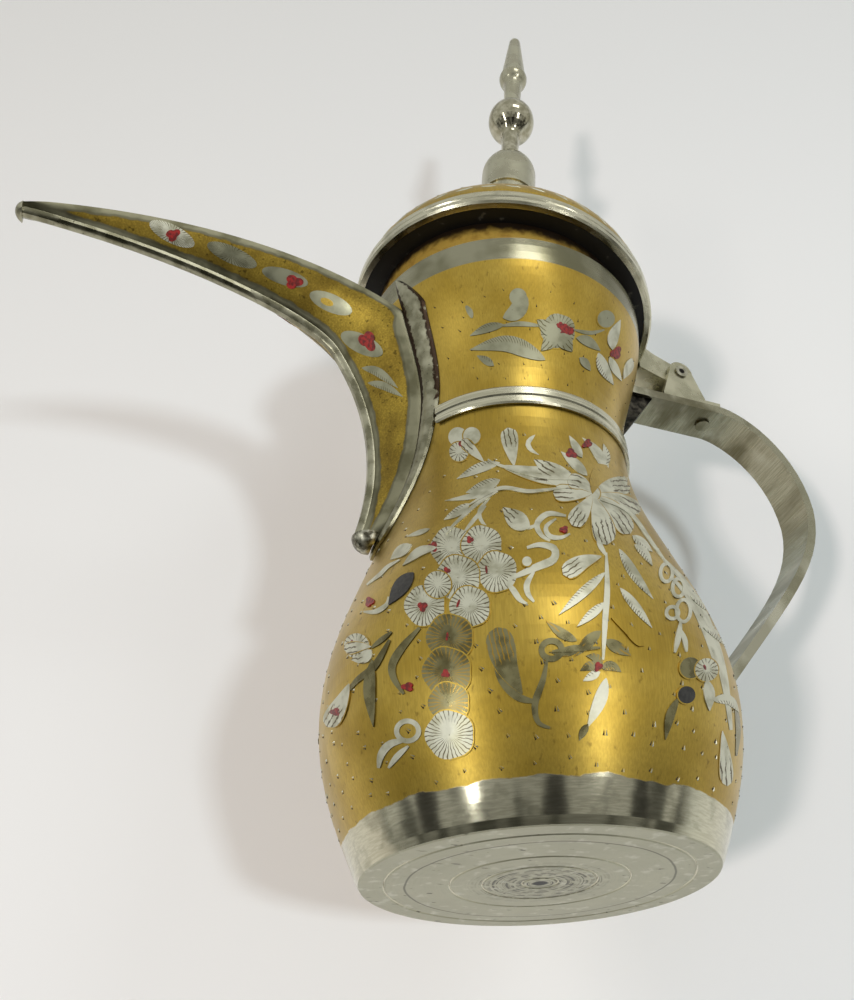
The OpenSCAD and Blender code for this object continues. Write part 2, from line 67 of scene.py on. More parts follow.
lens = bpy.data.cameras.new("camera")
lens.sensor_width = SENSOR
lens.lens = FOCAL / IMAGE_H * SENSOR
lens.shift_x = (IMAGE_W / 2 - CENTRE_X) / IMAGE_H
lens.shift_y = (CENTRE_Y - IMAGE_H / 2) / IMAGE_H
lens.clip_start, lens.clip_end = 0.01, 20
camera = bpy.data.objects.new("camera", lens)
axes = Matrix((RIGHT, UP, BACK)).transposed()
camera.matrix_world = Matrix.Translation(EYE) @ axes.to_4x4()
bpy.context.collection.objects.link(camera)
bpy.context.scene.camera = camera


def sight(x, y):
    """Direction from the eye through an image point."""
    return (AIM.transposed() @ Vector(((x - CENTRE_X) / FOCAL, (y - CENTRE_Y) / FOCAL, 1))).normalized()


def toward_camera(right, up, back):
    """Direction given by the camera's own directions."""
    return (right * RIGHT + up * UP + back * BACK).normalized()


# ---------------------------------------------------------------- sizes shared with the solids, in mm
# Radii and heights of the wall at base, belly, waist and lip, and the top of the ring over the joint
BASE_R, BELLY_R, BELLY_Z = 40.0, 49.4, 36.4
WAIST_R, WAIST_Z, RING_TOP = 31.2, 110.3, 115.8
LIP_R, LIP_Z = 40.1, 159.8
# Gap that a soldered seam fills
SEAT = 0.15
# Heights of the spout's lower end, its root's top and its tip, and how far out the tip is
TOE_Z, ROOT_Z, TIP_Z, SPOUT_REACH = 83.5, 146.3, 164.5, 132.0
# Half widths there, and how far the lower end stands off the wall
TOE_W, ROOT_W, TIP_W, TOE_OUT = 2.4, 16.2, 3.2, 7.3
# Thickness of a cheek, half width and thickness of the keel, and the share of it along the wall
CHEEK_T, KEEL_W, KEEL_T, ROOT_PART = 1.4, 1.6, 1.6, 0.42
# Share of the spout from which a cheek's upper corner is cut back, and how much of it goes at the tip
TIP_FROM, TIP_CORNER = 0.965, 0.5
# Width of the flange, how much it widens upwards, and its thickness
FLANGE_W, FLANGE_FLARE, FLANGE_T = 2.4, 3.2, 1.5
# The lid's pin and rim plane, and how far it stands open, in degrees
PIN_X, PIN_Z, LID_Z, AJAR = 57.7, 162.0, 162.2, 5.1
# Radius and height of the dome, and how high over the rim plane it starts
DOME_R, DOME_H, RIM_H = 43.2, 21.0, 5.7

# ---------------------------------------------------------------- finishes
# Kinds of node that most finishes use
MATH, VECTOR, MIX, RAMP = "ShaderNodeMath", "ShaderNodeVectorMath", "ShaderNodeMix", "ShaderNodeMapRange"
SPLIT, NOISE = "ShaderNodeSeparateXYZ", "ShaderNodeTexNoise"


def hue(code):
    """Linear colour of an sRGB hex value."""
    parts = [int(code[i:i + 2], 16) / 255 for i in (0, 2, 4)]
    return [p / 12.92 if p <= 0.04045 else ((p + 0.055) / 1.055) ** 2.4 for p in parts] + [1]


def join(tree, node, sockets):
    """Fills a node's sockets, by name or number, or the first ones in order. Each takes a value, a
    colour's hex value, an output, or a node, which stands for its first output in use."""
    for socket, value in sockets.items() if isinstance(sockets, dict) else enumerate(sockets):
        end = node.inputs[socket]
        if isinstance(value, bpy.types.Node):
            value = next(output for output in value.outputs if output.enabled)
        if isinstance(value, bpy.types.NodeSocket):
            tree.links.new(value, end)
        else:
            end.default_value = hue(value) if end.type == "RGBA" and isinstance(value, str) else value


def put(tree, kind, sockets=(), **settings):
    """Adds a node with its settings and links."""
    made = tree.nodes.new(kind)
    for name, value in settings.items():
        setattr(made, name, value)
    join(tree, made, sockets)
    return made


def finish_of(name, roughness, metallic=1.0):
    """A new material: its tree, its shader node and the object coordinates."""
    made = bpy.data.materials.new(name)
    made.use_nodes = True
    tree = made.node_tree
    shader = tree.nodes["Principled BSDF"]
    join(tree, shader, {"Roughness": roughness, "Metallic": metallic})
    return made, tree, shader, put(tree, "ShaderNodeTexCoord").outputs["Object"]


def cloud(tree, place, size_mm, detail=2.0, stretch=(1, 1, 1)):
    """Noise whose features are about size_mm wide, drawn out along the axes given less than 1."""
    scaled = put(tree, "ShaderNodeMapping", {"Vector": place, "Scale": [s / (size_mm * MM) for s in stretch]})
    return put(tree, NOISE, {"Vector": scaled, "Scale": 1.0, "Detail": detail})


def around(tree, place, radius_mm):
    """Coordinates on a round wall: length round the axis, height, distance from the axis; then the
    last two alone."""
    part = put(tree, SPLIT, [place])
    turn = put(tree, MATH, [part.outputs[1], part.outputs[0]], operation="ARCTAN2")
    out = put(tree, VECTOR, [place, (1, 1, 0)], operation="MULTIPLY")
    far = put(tree, VECTOR, [out], operation="LENGTH")
    length = put(tree, MATH, [turn, radius_mm * MM], operation="MULTIPLY")
    return put(tree, "ShaderNodeCombineXYZ", [length, part.outputs[2], far]), part.outputs[2], far


def over(tree, base, colour, pattern, low, high, least=0.0, most=1.0):
    """Lays a colour over another where a pattern rises from low to high."""
    share = put(tree, RAMP, [pattern, low, high, least, most], interpolation_type="SMOOTHSTEP")
    return put(tree, MIX, {0: share, 6: base, 7: colour}, data_type="RGBA")


def dress(tree, shader, colour, gloss=None, relief=None):
    """Gives a shader its colour, roughness as (pattern, smooth, rough) and relief as (pattern,
    depth in mm, strength)."""
    join(tree, shader, {"Base Color": colour})
    if gloss:
        pattern, smooth, rough = gloss
        varied = put(tree, RAMP, [pattern, 0.3, 0.7, smooth, rough], interpolation_type="SMOOTHSTEP")
        join(tree, shader, {"Roughness": varied})
    if relief:
        pattern, depth_mm, strength = relief
        raised = put(tree, "ShaderNodeBump", {
            "Height": pattern, "Distance": depth_mm * MM, "Strength": strength,
        })
        join(tree, shader, {"Normal": raised})


# Roughness of plate that still mirrors
MIRROR_ROUGH = 0.13
# Heights of the bare bands at the foot and at the mouth, how ragged the lower one's edge is, how
# soft both edges are, and the heights between which bright plate gives way to rougher plate painted
# darker, a painted dark reflection, in mm
FOOT_BAND, MOUTH_BAND, RAGGED, BAND_EDGE = 8.6, 152.6, 4.0, 0.15
DULLED_FROM = (100 * MM, 120 * MM)


def mirror_plate(tree, wall):
    """Colour of polished plate: bright, scratched along and grey where it has worn."""
    plate = over(tree, "BFBAA2", "CFCBB3", cloud(tree, wall, 0.4, 3, (0.15, 1, 1)), 0.35, 0.65)
    return over(tree, plate, "8A8771", cloud(tree, wall, 5, 4), 0.5, 0.66, 0, 0.45)


def lacquered_sheet(bands):
    """Golden lacquer rolled thinly over plated sheet: satin, finely brushed down the wall, a little
    browner in patches, freckled and streaked with wear. With bands, foot and mouth are bare plate."""
    made, tree, shader, place = finish_of("gold_lacquered_sheet", 0.3)
    wall, height, _ = around(tree, place, BASE_R)
    patch = cloud(tree, wall, 16, 3)
    brush = cloud(tree, wall, 0.3, 2, (1, 0.04, 1))
    freckle = cloud(tree, wall, 1.1, 4, (1, 0.5, 1))
    colour = over(tree, "B3953A", "C7A94C", patch, 0.35, 0.65)
    colour = over(tree, colour, "866D2C", brush, 0.3, 0.7, 0.28, 0)
    colour = over(tree, colour, "6B5224", freckle, 0.62, 0.74, 0, 0.5)
    rough = put(tree, RAMP, [patch, 0.35, 0.65, 0.38, 0.33], interpolation_type="SMOOTHSTEP")
    if bands:
        lowest = (FOOT_BAND - RAGGED / 2) * MM
        edge = put(tree, MATH, [cloud(tree, wall, 9, 4), RAGGED * MM, lowest], operation="MULTIPLY_ADD")
        foot = put(tree, MATH, [edge, height], operation="SUBTRACT")
        mouth = put(tree, MATH, [height, MOUTH_BAND * MM], operation="SUBTRACT")
        bare = put(tree, MATH, [foot, mouth], operation="MAXIMUM")
        # The mouth band's plate is rougher, and painted darker as a painted dark reflection
        dulled_and_dark_reflection = over(tree, "77745A", "A19E86", patch, 0.35, 0.6)
        plate = over(tree, mirror_plate(tree, wall), dulled_and_dark_reflection, height, *DULLED_FROM)
        plate_rough = put(tree, RAMP, [height, *DULLED_FROM, MIRROR_ROUGH, 0.24],
                          interpolation_type="SMOOTHSTEP")
        share = put(tree, RAMP, [bare, -BAND_EDGE * MM, BAND_EDGE * MM], interpolation_type="SMOOTHSTEP")
        colour = put(tree, MIX, {0: share, 6: colour, 7: plate}, data_type="RGBA")
        rough = put(tree, MIX, {0: share, 2: rough, 3: plate_rough})
    join(tree, shader, {"Base Color": colour, "Roughness": rough, "Coat Weight": 0.15, "Coat Roughness": 0.3})
    return made


def bright_plate():
    """Nickel plate on a turned ring: bright, with fine lathe lines round it and grey tarnish."""
    made, tree, shader, place = finish_of("turned_nickel_plate", 0.2)
    wall, _, _ = around(tree, place, BASE_R)
    lines = cloud(tree, wall, 0.3, 2, (0.02, 1, 1))
    stain = cloud(tree, place, 6, 3)
    colour = over(tree, "BCB8A0", "D8D4BD", lines, 0.3, 0.7)
    colour = over(tree, colour, "8B8873", stain, 0.5, 0.75, 0, 0.55)
    dress(tree, shader, colour, (stain, 0.16, 0.32), (lines, 0.01, 0.4))
    return made


def mottled(name, size_mm, low, high, smooth, rough, depth_mm):
    """Metal without a direction: its tone, gloss and surface all vary over patches of one size."""
    made, tree, shader, place = finish_of(name, rough)
    patch = cloud(tree, place, size_mm, 4)
    colour = over(tree, low, high, patch, 0.36, 0.66)
    dress(tree, shader, colour, (patch, smooth, rough), (patch, depth_mm, 0.6))
    return made


# Heights between which the strap was less and less polished
GRIME_FROM = (120 * MM, 155 * MM)


def ground_strap():
    """Nickel-silver strap shaped with a file and belt: satin, with fine lines across it, brown
    where it was not polished and bright where hands rub it."""
    made, tree, shader, place = finish_of("ground_nickel_strap", 0.34)
    lines = cloud(tree, place, 0.22, 3, (1, 0.03, 1))
    grime = cloud(tree, place, 12, 4, (1, 0.5, 1))
    height = put(tree, SPLIT, [place]).outputs[2]
    colour = over(tree, "97947C", "B3B09A", lines, 0.3, 0.7)
    colour = over(tree, colour, "C8C5B1", cloud(tree, place, 26, 2), 0.5, 0.62)
    patches = put(tree, RAMP, [grime, 0.42, 0.62], interpolation_type="SMOOTHSTEP")
    near_hinge = put(tree, RAMP, [height, *GRIME_FROM, 0.35, 0.8], interpolation_type="SMOOTHSTEP")
    dirt = put(tree, MATH, [patches, near_hinge], operation="MULTIPLY")
    colour = put(tree, MIX, {0: dirt, 6: colour, 7: "5C563B"}, data_type="RGBA")
    dress(tree, shader, colour, (grime, 0.22, 0.38), (lines, 0.006, 0.35))
    return made


# Foot disc, in mm: distance between its turned rings, how far they wander, the radii between which
# they fade, the radius of the ring line near the edge and of the dark centre mark
RING_PITCH, RING_SWAY, RING_LINE_R = 0.6, 1.2, 30.4
RINGS_FADE, CENTRE_MARK = (11 * MM, 17 * MM), (1.3 * MM, 2.0 * MM)


def foot_plate():
    """Turned disc of tinned sheet: dull grey, dense dark rings round the middle and one near the
    edge, with nicks and scuffs; its side is polished like the wall above."""
    made, tree, shader, place = finish_of("turned_foot_disc", 0.42)
    wall, height, far = around(tree, place, BASE_R / 2)
    sway = put(tree, MATH, [cloud(tree, place, 14), RING_SWAY * MM, far], operation="MULTIPLY_ADD")
    ring_at = put(tree, MATH, [sway, 1 / (RING_PITCH * MM)], operation="MULTIPLY")
    ring_place = put(tree, "ShaderNodeCombineXYZ", [ring_at])
    rings = put(tree, NOISE, {"Vector": ring_place, "Scale": 1.0, "Detail": 2.0})
    middle = put(tree, RAMP, [far, *RINGS_FADE, 1.0, 0.06], interpolation_type="SMOOTHSTEP")
    broken = put(tree, RAMP, [cloud(tree, place, 2.2, 4), 0.4, 0.56], interpolation_type="SMOOTHSTEP")
    faded = put(tree, MATH, [middle, broken], operation="MULTIPLY")
    dark = put(tree, RAMP, [rings, 0.44, 0.56], interpolation_type="SMOOTHSTEP")
    marks = put(tree, MATH, [dark, faded], operation="MULTIPLY")
    most = put(tree, MATH, [marks, 0.85], operation="MULTIPLY")
    from_line = put(tree, MATH, [sway, RING_LINE_R * MM], operation="SUBTRACT")
    beside = put(tree, MATH, [from_line], operation="ABSOLUTE")
    colour = put(tree, MIX, {0: cloud(tree, place, 18), 6: "9F9D88", 7: "B9B7A1"}, data_type="RGBA")
    colour = over(tree, colour, "DBDACD", cloud(tree, place, 3.5, 4), 0.55, 0.7, 0, 0.4)
    colour = put(tree, MIX, {0: most, 6: colour, 7: "38352B"}, data_type="RGBA")
    colour = over(tree, colour, "4A473B", beside, 0.1 * MM, 0.35 * MM, 0.7, 0)
    colour = over(tree, colour, "3A372E", cloud(tree, place, 1.5, 3, (0.3, 1, 1)), 0.66, 0.71, 0, 0.85)
    colour = over(tree, "0E0D0B", colour, far, *CENTRE_MARK)
    side = put(tree, RAMP, [height, 0.15 * MM, 0.3 * MM], interpolation_type="SMOOTHSTEP")
    colour = put(tree, MIX, {0: side, 6: colour, 7: mirror_plate(tree, wall)}, data_type="RGBA")
    dress(tree, shader, colour, relief=(rings, 0.05, 0.4))
    rough = put(tree, RAMP, [side, 0, 1, 0.42, MIRROR_ROUGH], interpolation_type="SMOOTHSTEP")
    join(tree, shader, {"Roughness": rough})
    return made


def black_lid_ring():
    """Ring under the lid: near black, rubbed to grey metal in places."""
    made, tree, shader, place = finish_of("black_ring_under_lid", 0.5)
    rubs = cloud(tree, place, 2.6, 4)
    shine = put(tree, RAMP, [rubs, 0.64, 0.74, 0, 0.9], interpolation_type="SMOOTHSTEP")
    join(tree, shader, {"Metallic": shine})
    dress(tree, shader, over(tree, "0B0A08", "5E5C52", rubs, 0.64, 0.74), relief=(rubs, 0.08, 0.6))
    return made


# Radii between which the dimple in the pin's end stops
DIMPLE = (0.8 * MM, 1.1 * MM)


def peened_pin():
    """Hinge pin hammered flush: bright at its rim, with a dark dimple in the middle of each end."""
    made, tree, shader, place = finish_of("peened_nickel_pin", 0.3)
    from_pin = put(tree, VECTOR, [place, (PIN_X * MM, 0, PIN_Z * MM)], operation="SUBTRACT")
    flat_on = put(tree, VECTOR, [from_pin, (1, 0, 1)], operation="MULTIPLY")
    far = put(tree, VECTOR, [flat_on], operation="LENGTH")
    dull = cloud(tree, place, 2, 3)
    bright = over(tree, "A19E8B", "BFBCAA", dull, 0.35, 0.65)
    dress(tree, shader, over(tree, "1D1B17", bright, far, *DIMPLE), (dull, 0.24, 0.4))
    return made


# Heights over the lid's rim plane between which its collar turns black, painted shade under the lid's cap
# over dark streaks, in mm
DARK_TOP_FROM = (-4.2, -0.6)


def aged_brass():
    """Brass collar never polished again: yellow-brown, with dark spots, and black at its top: dark streaks
    under a painted shade where it meets the lid's cap. Its tarnish scatters light, so it is only half
    metallic."""
    made, tree, shader, place = finish_of("aged_brass", 0.38, 0.5)
    spots = cloud(tree, place, 3, 4)
    lid_up = (sin(radians(AJAR)) / MM, 0, cos(radians(AJAR)) / MM)
    from_pin = put(tree, VECTOR, [place, (PIN_X * MM, 0, LID_Z * MM)], operation="SUBTRACT")
    height = put(tree, VECTOR, [from_pin, lid_up], operation="DOT_PRODUCT")
    waver = put(tree, MATH, [spots, 0.5], operation="SUBTRACT")
    stain_and_shade = put(tree, MATH, [waver, 4, height], operation="MULTIPLY_ADD")
    brass = over(tree, "C9A64C", "A98538", spots, 0.4, 0.7)
    dress(tree, shader, over(tree, brass, "22170B", stain_and_shade, *DARK_TOP_FROM), (spots, 0.3, 0.55))
    return made


def seam_plate():
    """Plated strip soldered on by hand: grey-green, smooth with tin smears and a few flux pits, and
    black where flux burned and, on the flange's outer edge, where a painted shadow of its gap to the wall is
    added, as the strip's seam values say."""
    made, tree, shader, place = finish_of("soldered_bright_strip", 0.26)
    smear = cloud(tree, place, 5, 3)
    colour = over(tree, "7B7862", "B0AD96", smear, 0.35, 0.65)
    colour = over(tree, colour, "2A241A", cloud(tree, place, 0.9, 3), 0.66, 0.74, 0, 0.8)
    seam = put(tree, "ShaderNodeAttribute", attribute_name="seam").outputs["Fac"]
    stain_and_shade = put(tree, MATH, [seam, 0.8], operation="SUBTRACT")
    stain_and_shade = put(tree, MATH, [cloud(tree, place, 1.4, 4), 1.6, stain_and_shade], operation="MULTIPLY_ADD")
    colour = over(tree, colour, "2B150D", stain_and_shade, 0.55, 0.8, 0, 0.92)
    dress(tree, shader, colour, (smear, 0.24, 0.38), (smear, 0.12, 0.5))
    return made


def cheek_sheet():
    """Spout sheet: a lacquered golden panel in the middle, bare dulled plate round it, and grime
    along the line where the lacquer ends. The sheet's panel values say how far inside it a place is."""
    made, tree, shader, place = finish_of("spout_sheet_gold_and_plate", 0.3)
    inside = put(tree, "ShaderNodeAttribute", attribute_name="panel").outputs["Fac"]
    waver = put(tree, MATH, [cloud(tree, place, 4, 3), 1.6, -0.8], operation="MULTIPLY_ADD")
    edge = put(tree, MATH, [inside, waver], operation="ADD")
    grain = cloud(tree, place, 0.5, 3)
    gold = over(tree, "957C33", "BCA044", cloud(tree, place, 9, 3), 0.35, 0.65)
    gold = over(tree, gold, "5E4E22", grain, 0.4, 0.7, 0.4, 0)
    gold = over(tree, gold, "3F3318", cloud(tree, place, 1.2, 4), 0.6, 0.7, 0, 0.7)
    dull = cloud(tree, place, 7, 3)
    plate = over(tree, "6F6C54", "949178", dull, 0.35, 0.6)
    colour = over(tree, plate, gold, edge, -0.25, 0.25)
    outside = put(tree, MATH, [edge, 0.25], operation="ADD")
    near = put(tree, MATH, [outside], operation="ABSOLUTE")
    colour = over(tree, colour, "3A3420", near, 0.1, 0.7, 0.4, 0)
    dress(tree, shader, colour, (dull, 0.36, 0.46), (grain, 0.02, 0.4))
    return made


# Distance between the strokes that hatch a figure, in mm; finer ones don't show
HATCH_PITCH = 1.05


def figure_plate(name, low, high, roughness, stroke):
    """Lacquer scraped away with a burin: bare plate with fine strokes cut in from the edges. The
    figure's own map gives the length along its hatching, in mm, and how deep a stroke cuts."""
    made, tree, shader, place = finish_of(name, roughness)
    tone = cloud(tree, place, 4, 4)
    part = put(tree, SPLIT, [put(tree, "ShaderNodeUVMap", uv_map="figure")])
    waver = put(tree, MATH, [cloud(tree, place, 1.6, 2), 0.9, part.outputs[0]], operation="MULTIPLY_ADD")
    strokes = put(tree, MATH, [waver, HATCH_PITCH], operation="DIVIDE")
    turn = put(tree, MATH, [strokes], operation="FRACT")
    from_middle = put(tree, MATH, [turn, 0.5], operation="SUBTRACT")
    across = put(tree, MATH, [from_middle], operation="ABSOLUTE")
    line = put(tree, RAMP, [across, 0.07, 0.17, 0.9, 0], interpolation_type="SMOOTHSTEP")
    reach = put(tree, MATH, [cloud(tree, place, 1.2, 2), 0.5, part.outputs[1]], operation="MULTIPLY_ADD")
    within = put(tree, RAMP, [reach, 0.38, 0.62], interpolation_type="SMOOTHSTEP")
    cut = put(tree, MATH, [line, within], operation="MULTIPLY")
    colour = over(tree, low, high, tone, 0.3, 0.6)
    colour = put(tree, MIX, {0: cut, 6: colour, 7: stroke}, data_type="RGBA")
    dress(tree, shader, colour, (tone, roughness - 0.06, roughness + 0.12), (tone, 0.04, 0.6))
    return made


# How bright paint is where it lies thick, as a share of where it is worn thin
THICK_PAINT = 0.35


def enamel(name, code):
    """Dots of paint, worn thin: slightly glossy, darker where it lies thick."""
    made, tree, shader, place = finish_of(name, 0.4, 0.0)
    tone = cloud(tree, place, 0.9, 3)
    thick = [THICK_PAINT * part for part in hue(code)[:3]] + [1]
    dress(tree, shader, over(tree, thick, code, tone, 0.4, 0.6), relief=(tone, 0.06, 0.6))
    return made


GOLD, GOLD_LID = lacquered_sheet(True), lacquered_sheet(False)
PLATE, STRAP, SEAM, CHEEK = bright_plate(), ground_strap(), seam_plate(), cheek_sheet()
# Finial: satin from the lathe, its ball mirror bright; hinge: rubbed bright; solder: lumpy grey with
# black flux in its hollows; lug: the same, but near black, a painted shade of the gap under the strap's end
NICKEL = mottled("turned_nickel_silver", 6, "ABA791", "BCB9A2", 0.22, 0.32, 0.01)
BALL = mottled("polished_nickel_silver", 2.5, "9D9880", "C3BEA8", 0.07, 0.14, 0.01)
HINGE = mottled("rubbed_nickel_silver", 7, "ABA88F", "C8C4AB", 0.22, 0.34, 0.01)
SOLDER = mottled("wiped_tin_solder", 1.6, "5A5648", "C8C5B2", 0.24, 0.4, 0.2)
LUG_SHADE = mottled("lug_painted_shade", 2.2, "0F0D0A", "57534A", 0.3, 0.5, 0.2)
# Finishes of the figures and pricks, each with the record's slot that it stands for
FINISHES = {
    "silver": (figure_plate("scraped_plate", "B4B29A", "DBDAC8", 0.42, "52431F"), "silvered"),
    "grey": (figure_plate("tarnished_plate", "645D3E", "8C8663", 0.26, "B08C38"), "silvered"),
    "dull": (figure_plate("dulled_plate", "8E8D75", "A5A48C", 0.34, "5F5736"), "silvered"),
    "red": (enamel("red_enamel", "8C1A14"), "lacquered_sheet"),
    "gold": (GOLD_LID, "lacquered_sheet"),
    # The pricks' pits are raised wedges painted dark brown: painted shade of a nick
    "cut": (enamel("painted_pit_shade", "3B2F16"), "blackened"),
    "dark": (enamel("black_enamel", "2A2824"), "blackened"),
}
WORN_BY = {
    "belly_shell": GOLD, "neck_shell": GOLD, "lid_dome": GOLD_LID,
    "waist_ring": PLATE, "lid_rim": PLATE, "lid_turret": PLATE, "spout_nose": SEAM,
    "finial_bell": NICKEL, "finial_ball": BALL, "finial_bead": NICKEL, "finial_spire": NICKEL,
    "handle_strap": STRAP, "handle_foot": STRAP, "hinge_rivet": STRAP,
    "finial_rod": STRAP, "finial_nut": STRAP,
    "hinge_bracket": HINGE, "lid_tab": HINGE, "hinge_pin": peened_pin(), "base_plate": foot_plate(),
    "lid_seat": black_lid_ring(), "lid_collar": aged_brass(), "handle_lug": LUG_SHADE, "spout_toe": SOLDER,
}
for name, material in WORN_BY.items():
    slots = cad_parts[name].data.materials
    slots.clear()
    slots.append(material)


# ---------------------------------------------------------------- curves shared with the solids, in mm
def lerp(a, b, t):
    """Value at share t of the way from a to b."""
    return a + (b - a) * t


def swell(t):
    """Smooth step from 0 to 1."""
    return (1 - cos(pi * min(max(t, 0), 1))) / 2


def body_r(z):
    """Outer radius of the pot's wall at height z."""
    if z < BELLY_Z:
        return BASE_R + (BELLY_R - BASE_R) * sin(pi / 2 * max(z, 0) / BELLY_Z)
    if z < WAIST_Z:
        return lerp(BELLY_R, WAIST_R, swell((z - BELLY_Z) / (WAIST_Z - BELLY_Z)))
    return lerp(WAIST_R, LIP_R, swell((z - RING_TOP) / (LIP_Z - RING_TOP)))


def wall_point(z, a):
    """Point of the wall at height z and angle a round it, in metres."""
    return Vector((body_r(z) * cos(a), body_r(z) * sin(a), z)) * MM


def bezier(p, t):
    """Point of a cubic curve with the control points p."""
    return (1 - t) ** 3 * p[0] + 3 * t * (1 - t) ** 2 * p[1] + 3 * t * t * (1 - t) * p[2] + t ** 3 * p[3]


def on_wall(y, r):
    """Place along the pot of the spout's side of a circle of radius r."""
    return -sqrt(max(r * r - y * y, 0))


def root_y(z):
    """Half width of the spout's root on the wall at height z."""
    return TOE_W + (ROOT_W - TOE_W) * (max(z - TOE_Z, 0) / (ROOT_Z - TOE_Z)) ** 0.52


# Side view of the keel below and above its elbow, and of the cheeks' free edge
ELBOW = Vector((-(WAIST_R + 19.8), LIP_Z - 17.8))
KEEL_LOW = [
    Vector((-(body_r(TOE_Z) + TOE_OUT), TOE_Z)), Vector((-(WAIST_R + 6), WAIST_Z - 4.2)),
    Vector((-(WAIST_R + 10.2), WAIST_Z + 16)), ELBOW,
]
KEEL_HIGH = [
    ELBOW, ELBOW + Vector((-5, 8.2)), Vector((ELBOW.x - 37, TIP_Z - 0.5)), Vector((-SPOUT_REACH, TIP_Z)),
]
EDGE_START = Vector((on_wall(ROOT_W, body_r(ROOT_Z) + SEAT), ROOT_Z))
EDGE_HIGH = [
    EDGE_START, EDGE_START + Vector((-22, 21.5)), Vector((ELBOW.x - 44, TIP_Z + 11.5)),
    Vector((-SPOUT_REACH, TIP_Z + 2)),
]


def beak(s):
    """Share of the free part of the spout at s."""
    return (s - ROOT_PART) / (1 - ROOT_PART)


def keel_out(s):
    """Outer line of the keel, seen from the side."""
    return bezier(KEEL_LOW, s / ROOT_PART) if s < ROOT_PART else bezier(KEEL_HIGH, beak(s))


def edge_w(s):
    """Half width between the upper edges of the cheeks."""
    if s < ROOT_PART:
        return root_y(lerp(TOE_Z, ROOT_Z, s / ROOT_PART))
    return TIP_W + (ROOT_W - TIP_W) * (1 - beak(s)) ** 1.5


def edge_at(s, w):
    """Upper edge of a cheek sheet at half width w."""
    if s < ROOT_PART:
        z = lerp(TOE_Z, ROOT_Z, s / ROOT_PART)
        return Vector((on_wall(w, body_r(z) + SEAT), z))
    e = bezier(EDGE_HIGH, beak(s))
    wall = body_r(ROOT_Z) + SEAT
    return Vector((e.x + (1 - beak(s)) * (on_wall(w, wall) - on_wall(edge_w(s), wall)), e.y))


def keel_in(s):
    """Inner line of the keel, where the cheeks start."""
    return keel_out(s) + KEEL_T * (edge_at(s, edge_w(s)) - keel_out(s)).normalized()


def cheek_point(s, u, depth):
    """Point of the right cheek: s along the spout, u from keel to edge, depth into the sheet. Its
    upper corner is rounded off at the tip."""
    u *= 1 - TIP_CORNER * (max(s - TIP_FROM, 0) / (1 - TIP_FROM)) ** 2
    w, k = edge_w(s) - depth, KEEL_W - depth
    p = lerp(keel_in(s), edge_at(s, w), u)
    return Vector((p.x, -(k + (w - k) * sin(pi / 2 * u)), p.y)) * MM


# ---------------------------------------------------------------- making pieces
# Points of a piece that lie closer than this are one point, in mm
WELD = 0.0005


def weld(mesh, turn_out):
    """Joins points that coincide, drops loose ones and, if told to, turns the faces outwards."""
    shape = bmesh.new()
    shape.from_mesh(mesh)
    bmesh.ops.delete(shape, geom=[v for v in shape.verts if not v.link_faces], context="VERTS")
    bmesh.ops.remove_doubles(shape, verts=shape.verts, dist=WELD * MM)
    if turn_out:
        bmesh.ops.recalc_face_normals(shape, faces=shape.faces)
    shape.to_mesh(mesh)
    shape.free()


def applied(made):
    """Mesh of an object with its modifiers applied; they are taken off it."""
    view = bpy.context.evaluated_depsgraph_get()
    mesh = bpy.data.meshes.new_from_object(made.evaluated_get(view))
    made.modifiers.clear()
    made.data = mesh
    return mesh


def placed(name, content):
    """A new object in the scene."""
    made = bpy.data.objects.new(name, content)
    bpy.context.collection.objects.link(made)
    return made


def piece(name, points, faces, material, slot, replaced=(), crease=40, uv=None, marks=None, depth=None):
    """A mesh piece of the pot: welded, turned outwards, smooth except over creases of more degrees.
    With a depth in mm it is an open skin that gets that thickness, inwards."""
    mesh = bpy.data.meshes.new(name)
    mesh.from_pydata(points, [], faces)
    for key, values in (marks or {}).items():
        mesh.attributes.new(key, "FLOAT", "POINT").data.foreach_set("value", values)
    if uv:
        layer = mesh.uv_layers.new(name="figure")
        for loop in mesh.loops:
            layer.data[loop.index].uv = uv[loop.vertex_index]
    mesh.materials.append(material)
    weld(mesh, not depth)
    made = placed(name, mesh)
    if depth:
        skin = made.modifiers.new("body", "SOLIDIFY")
        skin.thickness = depth * MM
        skin.offset = -1
        mesh = applied(made)
    mesh.polygons.foreach_set("use_smooth", [True] * len(mesh.polygons))
    mesh.set_sharp_from_angle(angle=radians(crease))
    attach(made, "pot")
    if replaced:
        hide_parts(*replaced)


def tube(rows):
    """Points and faces of a closed tube through rows that all have the same number of points."""
    count = len(rows[0])
    faces = [
        (i * count + j, (i + 1) * count + j, (i + 1) * count + (j + 1) % count, i * count + (j + 1) % count)
        for i in range(len(rows) - 1) for j in range(count)
    ]
    faces.append(tuple(range(count)))
    faces.append(tuple((len(rows) - 1) * count + j for j in reversed(range(count))))
    return [p for row in rows for p in row], faces


def mirrored(points):
    """The same points on the pot's other side."""
    return [Vector((p.x, -p.y, p.z)) for p in points]


# ---------------------------------------------------------------- spout
CHEEK_ROWS, CHEEK_COLS = 110, 18
# Bare margins of a cheek beside the keel, beside it at the tip, at the seam on the wall and along
# the free edge, in mm, and the share of the spout over which the seam's gives way to the edge's
KEEL_MARGIN, TIP_MARGIN, SEAM_MARGIN, EDGE_MARGIN, MARGIN_TURN = 2.0, 1.6, 4.6, 2.2, 0.06
# What the sheet's inner face has in place of a distance inside the panel
NO_PANEL = -5.0


